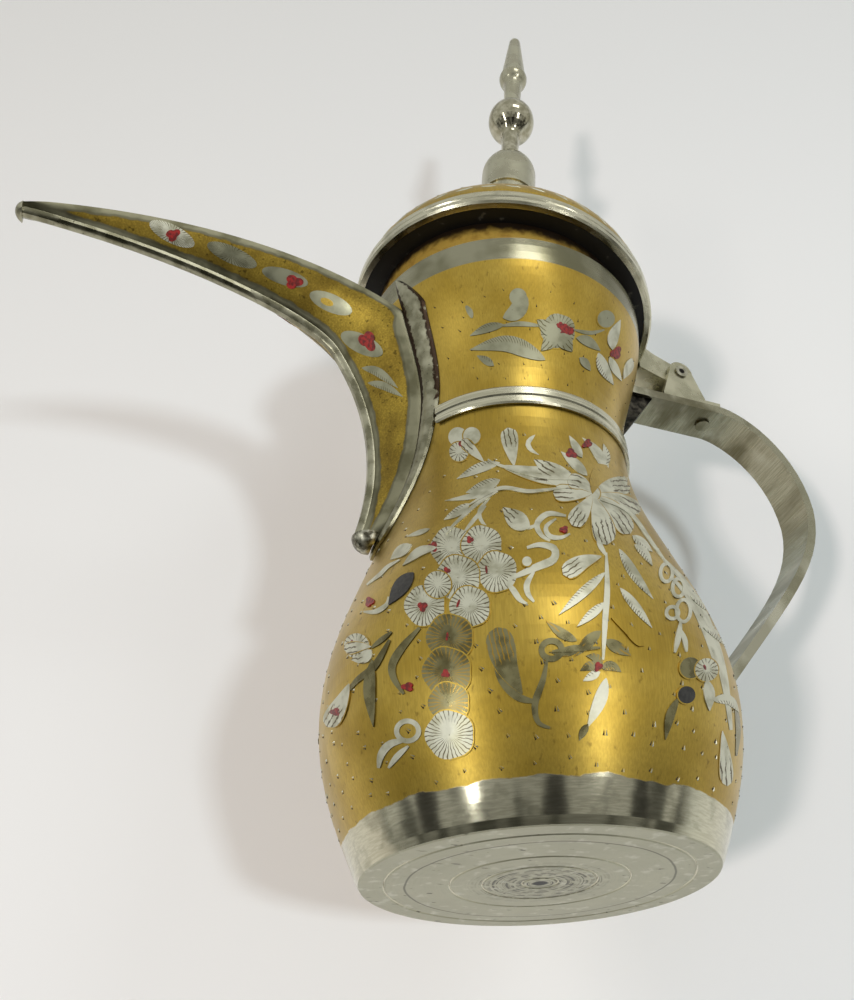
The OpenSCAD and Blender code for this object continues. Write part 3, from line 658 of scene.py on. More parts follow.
def cheek():
    """Closed sheet of the right cheek and, for each point, how far inside the golden panel it lies."""
    rows, panel = [], []
    for i in range(CHEEK_ROWS + 1):
        s = i / CHEEK_ROWS
        outer = [cheek_point(s, j / CHEEK_COLS, 0) for j in range(CHEEK_COLS + 1)]
        inner = [cheek_point(s, j / CHEEK_COLS, CHEEK_T) for j in reversed(range(CHEEK_COLS + 1))]
        run = [0.0]
        for a, b in zip(outer, outer[1:]):
            run.append(run[-1] + (b - a).length / MM)
        seam = lerp(SEAM_MARGIN, EDGE_MARGIN, swell((s - ROOT_PART) / MARGIN_TURN + 0.5))
        keel = lerp(KEEL_MARGIN, TIP_MARGIN, swell(2 * s - 1))
        rows.append(outer + inner)
        panel += [min(r - keel, run[-1] - r - seam) for r in run] + [NO_PANEL] * len(inner)
    return *tube(rows), panel


# Where the keel's side bends, and the share of its width there and at its outer face
KEEL_BEND, KEEL_BEND_W, KEEL_OUT_W = 0.6, 0.9, 0.45


def keel_rows():
    """Sections of the keel, each narrower at its outer face."""
    rows = []
    for i in range(CHEEK_ROWS + 1):
        a, b = keel_in(i / CHEEK_ROWS), keel_out(i / CHEEK_ROWS)
        half = [(a, KEEL_W), (lerp(a, b, KEEL_BEND), KEEL_W * KEEL_BEND_W), (b, KEEL_W * KEEL_OUT_W)]
        section = half + [(p, -w) for p, w in reversed(half)]
        rows.append([Vector((p.x, w, p.y)) * MM for p, w in section])
    return rows


# Steps of the flange beside the root, round the toe and up its horn, and where the horn ends
FLANGE_STEPS, TOE_STEPS, HORN_STEPS, HORN_Z = 60, 4, 14, LIP_Z - 3
# How dark flux stain, with a painted shadow of the gap where the flange stands off the wall, makes its outer
# edge and, more so, black flux its inner one, high up
OUTER_STAIN_AND_SHADE, PITTED = 0.95, 1.35


def flange_section(side, low, horn):
    """One section of the flange, as half widths, heights and distances off the wall: on a side from
    -1 to 1, at shares low of the way up the root and horn of the way up the horn."""
    z = lerp(lerp(TOE_Z - 0.3, ROOT_Z, low), HORN_Z, horn)
    at_toe = (1 - low) ** 6
    sag = (FLANGE_W + 0.4) * at_toe
    y0 = min(root_y(z), ROOT_W) + 0.25 - 0.2 * at_toe
    root_z = min(z, ROOT_Z)
    wide = root_y(root_z) + FLANGE_W + FLANGE_FLARE * max(root_z - TOE_Z, 0) / (ROOT_Z - TOE_Z)
    y1 = lerp(wide, y0 + 0.8, horn ** 1.5)
    z1, zm, ym = z - sag, z - sag * 0.4, lerp(y0, y1, 0.4)
    section = (
        (y0, z, 0), ((y0 + y1) / 2, (z + z1) / 2, 0), (y1, z1, 0),
        (y1, z1, FLANGE_T * 0.5), (lerp(ym, y1, 0.6), lerp(zm, z1, 0.6), FLANGE_T * 0.86),
        (ym, zm, FLANGE_T), (y0, z, FLANGE_T * 0.8),
    )
    row = [Vector((on_wall(side * y, body_r(h) + SEAT + out), side * y, h)) * MM for y, h, out in section]
    # Outer edge: flux stain and a painted shadow of the gap where the flange stands off the wall
    outer = OUTER_STAIN_AND_SHADE * swell((z - WAIST_Z) / 14)
    inner = lerp(1, PITTED, swell((z - WAIST_Z + 12) / 20))
    return row, [inner, 0, outer, outer, 0, 0.1, inner]


def flange():
    """The strip from the top of the right side round the toe to the top of the left side, and how
    dark each point is made: by black flux and, along its outer edge, also by painted shadow."""
    every = FLANGE_STEPS + HORN_STEPS
    path = [(-1, i) for i in range(every, -1, -1)]
    path += [(k / TOE_STEPS, 0) for k in range(1 - TOE_STEPS, TOE_STEPS)]
    path += [(1, i) for i in range(every + 1)]
    rows, grime = [], []
    for side, step in path:
        root_share, horn_share = min(step / FLANGE_STEPS, 1), max(step - FLANGE_STEPS, 0) / HORN_STEPS
        row, dirt = flange_section(side, root_share, horn_share)
        rows.append(row)
        grime += dirt
    return *tube(rows), grime


cheek_points, cheek_faces, panel = cheek()
for side, points in (("right", cheek_points), ("left", mirrored(cheek_points))):
    piece(f"spout_sheet_{side}", points, cheek_faces, CHEEK, "lacquered_sheet", [f"spout_cheek_{side}"],
          marks={"panel": panel})
piece("spout_keel_strip", *tube(keel_rows()), SEAM, "silvered", ["spout_keel"])
flange_points, flange_faces, grime = flange()
piece("spout_root_flange", flange_points, flange_faces, SEAM, "silvered", ["spout_flange"], crease=30,
      marks={"seam": grime})


# ---------------------------------------------------------------- scraped flower work
# The figures are drawn as they are seen from the eye and laid on the wall along the sight lines;
# the far side of the pot carries them mirrored.
# How far the first figure lies off the wall, each next one more, how many before it starts again,
# how much more a mark on a figure, and how thick a figure is, in mm
LIFT, LIFT_STEP, LIFTS, MARK_LIFT, FIGURE_DEPTH = 0.07, 0.009, 22, 0.03, 0.32
# Width of lacquer left standing round a petal, in pixels, and the side where lobes are hatched, in degrees
CONTOUR, HATCH_SIDE = 1.3, 80
# Size of the belly, neck and spout on the image, in pixels per mm
BELLY_SCALE, NECK_SCALE, SPOUT_SCALE = 4.6, 3.8, 3.6
# Net of the wall: divisions round and up it, and the height where it starts, in mm
SKIN_TURNS, SKIN_STEPS, SKIN_FOOT = 360, 160, 2
# Net of a ribbon: pixels to a step, fewest steps, and places across it as shares of its half width
STEP_PX, FEWEST_STEPS, ACROSS = 3, 6, (-1, -0.55, -0.02, 0.02, 0.55, 1)
# Net of a disc: rings as shares of its radius, and points round it
DISC_RINGS, TURNS = (0.02, 0.35, 0.7, 1.0), 28
# A lobe of more than this radius, in pixels, is scalloped, and so is a dot of enamel: number of waves,
# and their depth as a share of the radius. Then the width of a slit of enamel, in pixels
SCALLOPED_FROM, SCALLOPS, SCALLOP_DEPTH = 15, 5, 0.08
DOT_SCALLOPS, DOT_DEPTH, SLIT_W = 3, 0.5, 2.6
# Hatching: how much closer slanting strokes stand; how deep strokes cut in at the far end, less at
# the foot; how deep they cut in at a lobe's rim, and how much more on its hatched side
SLANT, END_CUT, FOOT_LESS, RIM_CUT, SIDE_CUT = 1.5, 2.2, 0.9, 0.35, 0.8


def skin_of(rows, closed):
    """Net through rows of points, for the sight lines to meet; closed, it runs round the pot."""
    count = len(rows[0])
    faces = [
        (i * count + j, i * count + (j + 1) % count, (i + 1) * count + (j + 1) % count, (i + 1) * count + j)
        for i in range(len(rows) - 1) for j in range(count if closed else count - 1)
    ]
    return BVHTree.FromPolygons([p for row in rows for p in row], faces)


def wall_skin():
    """The pot's golden wall."""
    heights = [lerp(SKIN_FOOT, LIP_Z, i / SKIN_STEPS) for i in range(SKIN_STEPS + 1)]
    turns = [2 * pi * j / SKIN_TURNS for j in range(SKIN_TURNS)]
    return skin_of([[wall_point(z, a) for a in turns] for z in heights], True)


def cheek_skin():
    """Outer face of the right cheek."""
    return skin_of([
        [cheek_point(i / CHEEK_ROWS, j / CHEEK_COLS, 0) for j in range(CHEEK_COLS + 1)]
        for i in range(CHEEK_ROWS + 1)
    ], False)


def in_sight(p):
    """Whether the round wall turns its outside to the eye at a point."""
    return (EYE - p).dot(Vector((p.x, p.y, 0))) > 0


class Figures:
    """Thin figures on one wall; scale is the wall's size on the image, in pixels per mm."""

    def __init__(self, skin, scale):
        self.skin = skin
        self.scale = scale
        self.laid = 0
        self.made = []

    def spot(self, x, y, lift):
        """Point over the wall where an image point shows it, or None beside the wall."""
        place, normal, _, _ = self.skin.ray_cast(EYE, sight(x, y))
        if place is None:
            return None
        if normal.dot(EYE - place) < 0:
            normal = -normal
        return place + normal * lift * MM

    def net(self, finish, rows, mark=False):
        """Lays rows of (x, y, u, v) on the wall; faces that miss it are left out. Each figure lies
        a little over the one before it, and a mark on the figure before it."""
        count = len(rows[0])
        lift = LIFT + LIFT_STEP * (self.laid % LIFTS) + (MARK_LIFT if mark else 0)
        self.laid += 0 if mark else 1
        spots = [self.spot(x, y, lift) for row in rows for x, y, _, _ in row]
        faces = []
        for i in range(len(rows) - 1):
            for j in range(count - 1):
                a = i * count + j
                face = (a, a + 1, a + count + 1, a + count)
                held = [spots[k] for k in face]
                if all(held):
                    away = (held[2] - held[0]).cross(held[3] - held[1]).dot(EYE - held[0]) < 0
                    faces.append(face[::-1] if away else face)
        self.made.append((finish, spots, faces, [(u, v) for row in rows for _, _, u, v in row]))

    def ribbon(self, finish, line, wide, shape, hatch=0, mark=False):
        """A band along a smooth line; shape gives its share of the width at t. Hatching 1 cuts
        slanting strokes into one half, hatching 2 cuts them in from the far end."""
        smooth = through(line)
        length = sum(hypot(b[0] - a[0], b[1] - a[1]) for a, b in zip(smooth, smooth[1:]))
        steps = max(FEWEST_STEPS, int(length / STEP_PX))
        rows = []
        for i in range(steps + 1):
            t = i / steps
            (x, y), (dx, dy) = along(smooth, t)
            half = wide / 2 * shape(t)
            row = []
            for q in ACROSS:
                if hatch == 2:
                    u, v = q * half, max(END_CUT * t - FOOT_LESS, 0)
                else:
                    u, v = SLANT * t * length - abs(q) * half, hatch * sin(pi * t) * max(q, 0)
                row.append((x - dy * half * q, y + dx * half * q, u / self.scale, v))
            rows.append(row)
        self.net(finish, rows, mark)

    def disc(self, finish, x, y, rx, ry=None, hatch=0, tilt=0, mark=False, waves=0, depth=0):
        """A round or scalloped patch; hatching runs in from its rim."""
        ry = ry or rx
        c, s = cos(radians(tilt)), sin(radians(tilt))
        run = int(2 * pi * rx / self.scale / HATCH_PITCH) * HATCH_PITCH
        rows = []
        for k in DISC_RINGS:
            row = []
            for j in range(TURNS + 1):
                a = 2 * pi * j / TURNS
                grow = k * (1 + depth * (abs(sin(a * waves / 2)) - 0.5))
                px, py = rx * grow * cos(a), ry * grow * sin(a)
                facing = 0.5 + 0.5 * cos(a - radians(HATCH_SIDE))
                cut = k * hatch * (RIM_CUT + SIDE_CUT * facing)
                row.append((x + px * c - py * s, y + px * s + py * c, j / TURNS * run, cut))
            rows.append(row)
        self.net(finish, rows, mark)

    def dot(self, x, y, rx, ry, tilt):
        """A lobed drop of red enamel on the figure before it."""
        self.disc("red", x, y, rx, ry, tilt=tilt, mark=True, waves=DOT_SCALLOPS, depth=DOT_DEPTH)

    def ring(self, finish, x, y, rx, ry, wide):
        """A loop of constant width."""
        turns = [2 * pi * j / TURNS for j in range(TURNS + 1)]
        self.net(finish, [
            [(x + (rx + o) * cos(a), y + (ry + o) * sin(a), 0, 0) for a in turns]
            for o in (-wide / 2, 0, wide / 2)
        ])

    def build(self, name, round_wall):
        """One piece for each finish and side; a round wall carries mirrored figures only where
        they are out of sight."""
        for side in ("right", "left"):
            parts = {}
            for finish, spots, faces, uv in self.made:
                held = [p or Vector((0, 0, 0)) for p in spots]
                if side == "left":
                    held = mirrored(held)
                    faces = [f[::-1] for f in faces]
                    if round_wall and any(in_sight(held[k]) for f in faces for k in f):
                        continue
                points, joined, layer = parts.setdefault(finish, ([], [], []))
                joined += [tuple(len(points) + k for k in f) for f in faces]
                points += held
                layer += uv
            for finish, (points, faces, uv) in parts.items():
                piece(f"{name}_{finish}_{side}", points, faces, *FINISHES[finish], uv=uv, depth=FIGURE_DEPTH)


def through(points, steps=10):
    """Smooth line through points."""
    p = [points[0], *points, points[-1]]
    line = []
    for a, b, c, d in zip(p, p[1:], p[2:], p[3:]):
        for i in range(steps):
            t = i / steps
            line.append(tuple(
                0.5 * (2 * b[k] + (c[k] - a[k]) * t + (2 * a[k] - 5 * b[k] + 4 * c[k] - d[k]) * t * t
                       + (3 * b[k] - a[k] - 3 * c[k] + d[k]) * t ** 3) for k in (0, 1)))
    return line + [points[-1]]


def along(line, t):
    """Point and direction at a share of a line's length."""
    steps = [hypot(b[0] - a[0], b[1] - a[1]) for a, b in zip(line, line[1:])]
    left = t * sum(steps)
    for (a, b), step in zip(zip(line, line[1:]), steps):
        if left <= step or b is line[-1]:
            share = min(left / step, 1) if step else 0
            way = ((b[0] - a[0]) / step, (b[1] - a[1]) / step) if step else (1, 0)
            return (lerp(a[0], b[0], share), lerp(a[1], b[1], share)), way
        left -= step


def pointed(t):
    """Leaf: widest before the middle, sharp at both ends."""
    return max(sin(pi * t ** 0.8), 0.03) ** 0.9


def drop(t):
    """Petal: narrow foot, broad round end."""
    return max(t ** 0.7 * sqrt(max(1 - t ** 5, 0)) * 1.05, 0.05)


def stroke(t):
    """Flourish: swells and dies away."""
    return 0.35 + 0.65 * sin(pi * t)


# Figures of the belly, in pixels of the image. Leaves and petals: finish, greatest width, hatching,
# points from foot to tip
BELLY_LEAVES = {
    "crescent": ("silver", 5, 0, (535, 435), (528, 443), (531, 450), (539, 455)),
    "upper_hatched": ("silver", 10, 1, (500, 463), (480, 468), (457, 479)),
    "eyed": ("silver", 12, 1, (500, 480), (484, 487), (466, 493)),
    "thin_upper": ("silver", 6, 0, (498, 491), (470, 497), (445, 501)),
    "small_hatched": ("silver", 9, 1, (470, 504), (458, 512), (444, 520)),
    "toe_leaf": ("silver", 5, 0, (430, 529), (419, 533), (407, 537)),
    "broad_lobe": ("silver", 20, 2, (575, 484), (556, 475), (534, 460)),
    "bud_one": ("silver", 10, 0, (587, 476), (577, 466), (561, 452)),
    "bud_two": ("silver", 8, 0, (582, 458), (576, 448), (569, 436)),
    "bud_three": ("silver", 10, 0, (603, 476), (604, 465), (594, 449), (582, 438)),
    "bud_four": ("silver", 8, 1, (602, 470), (606, 458), (603, 444)),
    "teardrop": ("silver", 19, 2, (530, 528), (516, 520), (503, 508)),
    "cluster_leaf": ("silver", 9, 0, (437, 548), (420, 552), (403, 566)),
    "eyed_low": ("silver", 11, 0, (412, 545), (402, 551), (391, 560)),
    "dark_hatched": ("dark", 15, 1, (414, 573), (402, 586), (389, 605)),
    "left_petal_two": ("silver", 12, 2, (372, 650), (364, 658), (352, 660)),
    "dark_hanging": ("grey", 12, 0, (373, 660), (370, 690), (374, 727)),
    "vertical_left": ("silver", 10, 1, (605, 573), (584, 592), (559, 615)),
    "vertical_left_low": ("silver", 9, 1, (605, 603), (592, 614), (577, 627)),
    "vertical_right": ("silver", 10, 1, (619, 549), (634, 574), (653, 599)),
    "vertical_right_low": ("silver", 9, 1, (620, 588), (635, 606), (652, 628)),
    "grey_one": ("grey", 12, 2, (601, 631), (588, 642), (574, 657)),
    "grey_two": ("grey", 12, 2, (605, 640), (618, 648), (631, 656)),
    "grey_four": ("grey", 10, 2, (577, 641), (561, 633), (546, 621)),
    "grey_five": ("grey", 10, 2, (582, 646), (566, 652), (549, 652)),
    "low_flower_left": ("grey", 10, 1, (600, 668), (590, 666), (580, 671)),
    "low_flower_left_two": ("silver", 9, 1, (600, 672), (592, 676), (583, 681)),
    "low_flower_right": ("grey", 10, 1, (601, 668), (611, 666), (621, 672)),
    "low_flower_up": ("grey", 9, 1, (601, 667), (596, 658), (586, 656)),
    "bright_drop": ("silver", 13, 0, (606, 678), (600, 700), (587, 728)),
    "grey_tip": ("grey", 8, 0, (588, 724), (583, 732), (579, 741)),
    "low_tail": ("grey", 9, 0, (678, 698), (670, 715), (665, 740)),
    "white_petal": ("silver", 11, 0, (706, 680), (709, 695), (709, 711)),
    "right_upper": ("silver", 9, 1, (632, 536), (640, 542), (652, 552)),
    "right_upper_two": ("silver", 8, 1, (634, 545), (644, 553), (652, 566)),
    "band_leaf_one": ("silver", 9, 1, (690, 596), (701, 602), (711, 614)),
    "band_leaf_two": ("silver", 9, 1, (703, 628), (714, 632), (724, 645)),
    "edge_leaf": ("silver", 10, 1, (712, 700), (728, 700), (738, 712)),
}
BELLY_PETALS = {
    "tulip": ("grey", 38, 2, (522, 694), (506, 664), (497, 628)),
    "petal_north": ("silver", 20, 2, (592, 494), (596, 480), (606, 466)),
    "petal_north_east": ("silver", 24, 2, (592, 494), (612, 486), (633, 486)),
    "petal_east": ("silver", 22, 2, (592, 495), (616, 500), (640, 512)),
    "petal_south_east": ("silver", 24, 2, (592, 496), (612, 508), (630, 534)),
    "petal_south": ("silver", 30, 2, (592, 496), (600, 518), (607, 545)),
    "petal_south_west": ("silver", 25, 2, (592, 496), (583, 510), (572, 526)),
    "petal_west": ("silver", 22, 2, (592, 494), (574, 494), (553, 493)),
    "petal_north_west": ("silver", 20, 2, (592, 493), (582, 484), (567, 480)),
    "big_leaf": ("silver", 24, 2, (601, 557), (582, 563), (563, 575)),
    "pale_petal": ("silver", 24, 2, (350, 684), (342, 702), (328, 727)),
    "left_petal": ("silver", 15, 2, (372, 647), (360, 647), (345, 650)),
    "grey_three": ("grey", 13, 2, (611, 618), (628, 630), (644, 646)),
    "right_petal": ("silver", 18, 2, (722, 731), (725, 755), (727, 786)),
    "broad": ("silver", 24, 2, (500, 466), (535, 474), (573, 478)),
    "egg_bud": ("silver", 23, 2, (514, 466), (511, 448), (508, 428)),
    "blob_stem": ("silver", 14, 2, (484, 462), (474, 452), (462, 440)),
}
# Stalks and curls: finish, greatest width, points along them
BELLY_STALKS = {
    "long_right": ("silver", 4, (600, 500), (628, 512), (652, 544), (668, 566)),
    "up_left": ("silver", 4, (574, 480), (540, 477), (500, 466), (488, 460)),
    "middle_left": ("silver", 4, (566, 488), (530, 492), (500, 489), (470, 505)),
    "long_left": ("silver", 4, (498, 492), (478, 504), (458, 522), (446, 534)),
    "second_left": ("silver", 4, (486, 506), (474, 520), (463, 534)),
    "curl_left": ("silver", 4, (490, 498), (480, 510), (481, 520), (489, 530)),
    "teardrop_tail": ("silver", 4, (515, 524), (528, 528), (538, 524)),
    "outer_curl": ("silver", 6, (566, 516), (548, 514), (537, 524), (541, 535), (550, 541)),
    "inner_curl": ("silver", 5, (556, 519), (546, 527), (549, 536), (560, 538), (570, 534)),
    "hook": ("silver", 8, (527, 548), (540, 545), (554, 549), (553, 560), (535, 568), (508, 580)),
    "hook_two": ("silver", 6, (534, 572), (527, 584), (528, 594), (534, 602)),
    "hook_three": ("silver", 6, (505, 581), (513, 590), (520, 600), (527, 604)),
    "vertical": ("silver", 6, (606, 553), (607, 590), (605, 620), (603, 660)),
    "vertical_top": ("silver", 5, (606, 556), (600, 546), (597, 536)),
    "eyed_stem": ("silver", 4, (400, 560), (388, 567), (380, 575), (367, 585)),
    "curl_low_left": ("silver", 5, (364, 612), (376, 612), (387, 605), (389, 597)),
    "dark_stem": ("grey", 8, (420, 628), (403, 647), (393, 664), (394, 678), (404, 694)),
    "petal_stem": ("grey", 5, (372, 648), (382, 640), (392, 632)),
    "branch": ("grey", 7, (390, 640), (375, 666), (358, 680), (348, 692)),
    "loop_tail": ("silver", 8, (406, 740), (391, 744), (382, 754), (379, 768)),
    "loop_tail_two": ("silver", 6, (409, 746), (398, 756), (389, 768)),
    "tulip_tail": ("grey", 9, (495, 662), (502, 680), (518, 697), (537, 702)),
    "ring_stem": ("grey", 7, (547, 660), (543, 680), (535, 704), (538, 722), (550, 728)),
    "sprig": ("grey", 5, (552, 652), (570, 650), (600, 648)),
    "right_stem": ("silver", 6, (680, 622), (678, 636), (674, 653)),
    "right_stem_two": ("silver", 5, (680, 630), (684, 640), (686, 652)),
    "white_band": ("silver", 9, (664, 560), (684, 582), (702, 612), (716, 648), (725, 684), (731, 730)),
    "white_band_two": ("silver", 6, (670, 576), (690, 600), (706, 634), (716, 668)),
    "edge_scratch": ("grey", 5, (735, 700), (738, 730), (736, 756)),
}
# Lobes of the hanging cluster and of the side flowers: finish, centre, radius, hatching, and a mark
# of red enamel, either a dot with its centre and radius or a slit with its two ends
BELLY_LOBES = {
    "cluster_a": ("silver", 452, 548, 21, 1, ("red", 433, 547, 3.5)),
    "cluster_b": ("silver", 482, 546, 20, 1, ("red", 470, 540, 2.5)),
    "cluster_c": ("silver", 497, 572, 20, 1, ("slit", 486, 566, 487, 574)),
    "cluster_d": ("silver", 458, 578, 22, 1, ("red", 447, 571, 2.5)),
    "cluster_e": ("silver", 425, 606, 20, 1, ("red", 423, 607, 3.5)),
    "cluster_f": ("silver", 470, 607, 20, 1, ("slit", 460, 600, 457, 608)),
    "cluster_g": ("silver", 438, 585, 14, 1, None),
    "cluster_h": ("grey", 450, 638, 23, 1, ("slit", 448, 633, 447, 641)),
    "cluster_i": ("grey", 447, 672, 24, 1, ("red", 446, 674, 3)),
    "cluster_j": ("grey", 449, 703, 20, 1, None),
    "cluster_k": ("silver", 450, 735, 24, 1, ("slit", 449, 719, 448, 727)),
    "blob_a": ("silver", 458, 437, 10, 0, None),
    "blob_b": ("silver", 472, 436, 9, 0, ("red", 464, 444, 3.5)),
    "blob_c": ("silver", 459, 452, 10, 1, None),
    "flower_middle": ("silver", 592, 494, 8, 0, None),
    "left_round": ("silver", 357, 646, 13, 1, ("slit", 353, 640, 351, 646)),
    "right_grey": ("grey", 690, 668, 11, 0, None),
    "right_white": ("silver", 706, 670, 12, 1, ("slit", 703, 665, 705, 670)),
    "right_black": ("dark", 686, 695, 9, 0, None),
    "hook_eye": ("silver", 527, 562, 5, 0, None),
}
# Loops: finish, centre, radii across and up, width of the line
BELLY_RINGS = {
    "left_loop": ("silver", 408, 731, 11, 10, 5), "middle_ring": ("grey", 551.5, 650, 10, 9, 6),
    "right_ring": ("silver", 672, 613, 6, 6, 3.5), "right_ring_two": ("silver", 683, 611, 7, 11, 3.5),
    "right_loop": ("silver", 666, 573, 6, 9, 3.5), "right_loop_two": ("silver", 678, 588, 6, 9, 3.5),
}
# Dots of red enamel: centre and radius
BELLY_REDS = {
    "bud": (571, 454, 4), "bud_curved": (587, 444, 3.5), "curl": (564, 530, 3), "low_left": (370, 602, 3.5),
    "dark_stem_end": (408, 687, 4), "low_flower": (598, 667, 3.5), "pale_petal": (336, 712, 3.5),
}

# Figures of the neck, in the same order
NECK_LEAVES = {
    "comma": ("dull", 17, 0, (503, 318), (516, 312), (522, 300), (516, 289)),
    "comma_tail": ("dull", 9, 1, (504, 325), (488, 328), (470, 336)),
    "hatched": ("dull", 17, 1, (545, 360), (508, 344), (470, 350)),
    "small": ("dull", 8, 1, (494, 366), (485, 360), (477, 356)),
    "right_one": ("dull", 10, 0, (576, 338), (587, 341), (600, 351)),
    "right_two": ("dull", 8, 0, (579, 358), (584, 362), (590, 371)),
    "white_one": ("silver", 11, 0, (612, 350), (613, 336), (620, 320)),
    "white_two": ("silver", 11, 1, (598, 353), (603, 368), (613, 385)),
    "white_three": ("silver", 8, 0, (609, 357), (614, 368), (621, 381)),
    "white_four": ("silver", 9, 0, (631, 358), (628, 368), (623, 379)),
    "rose_petal": ("dull", 15, 2, (558, 334), (548, 328), (537, 320)),
    "rose_petal_two": ("dull", 15, 2, (558, 334), (566, 344), (572, 352)),
    "rose_petal_three": ("dull", 14, 2, (558, 334), (548, 344), (541, 351)),
}
NECK_STALKS = {
    "stem": ("dull", 5, (502, 326), (520, 324), (541, 326)),
    "mark": ("dull", 6, (466, 306), (470, 312), (472, 318)),
    "stem_right": ("dull", 4, (574, 330), (590, 333), (604, 330)),
}
NECK_LOBES = {
    "rose": ("dull", 558, 331, 17, 1, ("red", 566, 331, 5)),
    "oval": ("dull", 606, 319, 9, 0, None),
    "comma_head": ("dull", 518, 297, 9, 0, None),
}
NECK_REDS = {"rose_second": (560, 326, 3), "white": (616, 353, 4.5)}

# Figures of the spout, in the same order
SPOUT_LEAVES = {
    "sixth_upper": ("dull", 9, 1, (362, 368), (378, 372), (398, 388)),
    "sixth_lower": ("dull", 8, 1, (368, 383), (384, 386), (403, 397)),
}
# Oval lobes: finish, centre, half length, half width, tilt, hatching
SPOUT_OVALS = {
    "first": ("silver", 172, 234, 25, 9, 27, 1),
    "second": ("dull", 232, 255, 27, 8.5, 24, 1), "third": ("dull", 285, 277, 24, 8, 17, 0),
    "fourth": ("dull", 331, 303, 23, 9, 24, 0), "fourth_heart": ("gold", 327, 302, 7, 3.5, 24, 0),
    "fifth": ("dull", 362, 344, 23, 9.5, 26, 0),
}
SPOUT_REDS = {"first": (173, 235, 5), "third": (294, 282, 6), "fifth": (368, 341, 7)}


def lay(figures, leaves, petals, stalks, lobes, rings, reds):
    """Lays a whole spray on one wall."""
    for finish, x, y, radius, hatch, mark in lobes.values():
        waves = SCALLOPS if radius > SCALLOPED_FROM else 0
        figures.disc("gold", x, y, radius + CONTOUR, waves=waves, depth=SCALLOP_DEPTH)
        figures.disc(finish, x, y, radius, hatch=hatch, waves=waves, depth=SCALLOP_DEPTH)
        if mark and mark[0] == "red":
            _, dot_x, dot_y, dot_r = mark
            figures.dot(dot_x, dot_y, dot_r * 1.25, dot_r * 1.25, 30 * x)
        elif mark:
            figures.ribbon("red", [mark[1:3], mark[3:5]], SLIT_W, stroke, mark=True)
    for finish, wide, *line in stalks.values():
        figures.ribbon(finish, line, wide, stroke)
    for finish, wide, hatch, *line in leaves.values():
        figures.ribbon(finish, line, wide, pointed, hatch)
    for finish, wide, hatch, *line in petals.values():
        figures.ribbon("gold", line, wide + 2 * CONTOUR, drop)
        figures.ribbon(finish, line, wide, drop, hatch)
    for finish, x, y, rx, ry, wide in rings.values():
        figures.ring(finish, x, y, rx, ry, wide)
    for x, y, radius in reds.values():
        figures.dot(x, y, radius * 1.3, radius, 30 * x)


wall = wall_skin()
belly_figures = Figures(wall, BELLY_SCALE)
lay(belly_figures, BELLY_LEAVES, BELLY_PETALS, BELLY_STALKS, BELLY_LOBES, BELLY_RINGS, BELLY_REDS)
belly_figures.build("belly_spray", True)
neck_figures = Figures(wall, NECK_SCALE)
lay(neck_figures, NECK_LEAVES, {}, NECK_STALKS, NECK_LOBES, {}, NECK_REDS)
neck_figures.build("neck_spray", True)
spout_figures = Figures(cheek_skin(), SPOUT_SCALE)
for finish, x, y, rx, ry, tilt, hatch in SPOUT_OVALS.values():
    spout_figures.disc(finish, x, y, rx, ry, hatch=hatch, tilt=tilt)
lay(spout_figures, SPOUT_LEAVES, {}, {}, {}, {}, SPOUT_REDS)
spout_figures.build("spout_leaves", False)


# ---------------------------------------------------------------- pricks and leaves laid many times
def shape_of(name, points, faces):
    """A small object to be laid many times, given in mm; it is hidden, and removed afterwards."""
    mesh = bpy.data.meshes.new(name)
    mesh.from_pydata([Vector(p) * MM for p in points], [], faces)
    made = placed(name, mesh)
    made.hide_render = True
    return made


def laying_tree(name):
    """Geometry nodes that lay a shape on points which carry the wall's direction, a size and a turn."""
    tree = bpy.data.node_groups.new(name, "GeometryNodeTree")
    face = tree.interface
    face.new_socket("Geometry", in_out="INPUT", socket_type="NodeSocketGeometry")
    for title, kind in (("Shape", "Object"), ("Finish", "Material"), ("Spread", "Float"), ("Seed", "Int")):
        face.new_socket(title, in_out="INPUT", socket_type=f"NodeSocket{kind}")
    face.new_socket("Geometry", in_out="OUTPUT", socket_type="NodeSocketGeometry")
    given = put(tree, "NodeGroupInput").outputs
    facing, size, turn = (
        put(tree, "GeometryNodeInputNamedAttribute", {"Name": key}, data_type=kind)
        for key, kind in (("facing", "FLOAT_VECTOR"), ("size", "FLOAT"), ("turn", "FLOAT"))
    )
    upright = put(tree, "FunctionNodeAlignRotationToVector", {"Vector": facing}, axis="Z")
    spun = put(tree, "FunctionNodeAxisAngleToRotation", {"Axis": (0, 0, 1), "Angle": turn})
    posed = put(tree, "FunctionNodeRotateRotation", [upright, spun], rotation_space="LOCAL")
    least = put(tree, MATH, [1.0, given["Spread"]], operation="SUBTRACT")
    most = put(tree, MATH, [1.0, given["Spread"]], operation="ADD")
    vary = put(tree, "FunctionNodeRandomValue", {"Min": least, "Max": most, "Seed": given["Seed"]},
               data_type="FLOAT")
    scale = put(tree, MATH, [size, vary], operation="MULTIPLY")
    source = put(tree, "GeometryNodeObjectInfo", {"Object": given["Shape"]}, transform_space="ORIGINAL")
    points = put(tree, "GeometryNodeMeshToPoints", {"Mesh": given["Geometry"]})
    laid = put(tree, "GeometryNodeInstanceOnPoints", {
        "Points": points, "Instance": source.outputs["Geometry"], "Rotation": posed, "Scale": scale,
    })
    real = put(tree, "GeometryNodeRealizeInstances", [laid])
    done = put(tree, "GeometryNodeSetMaterial", {"Geometry": real, "Material": given["Finish"]})
    put(tree, "NodeGroupOutput", [done])
    return tree


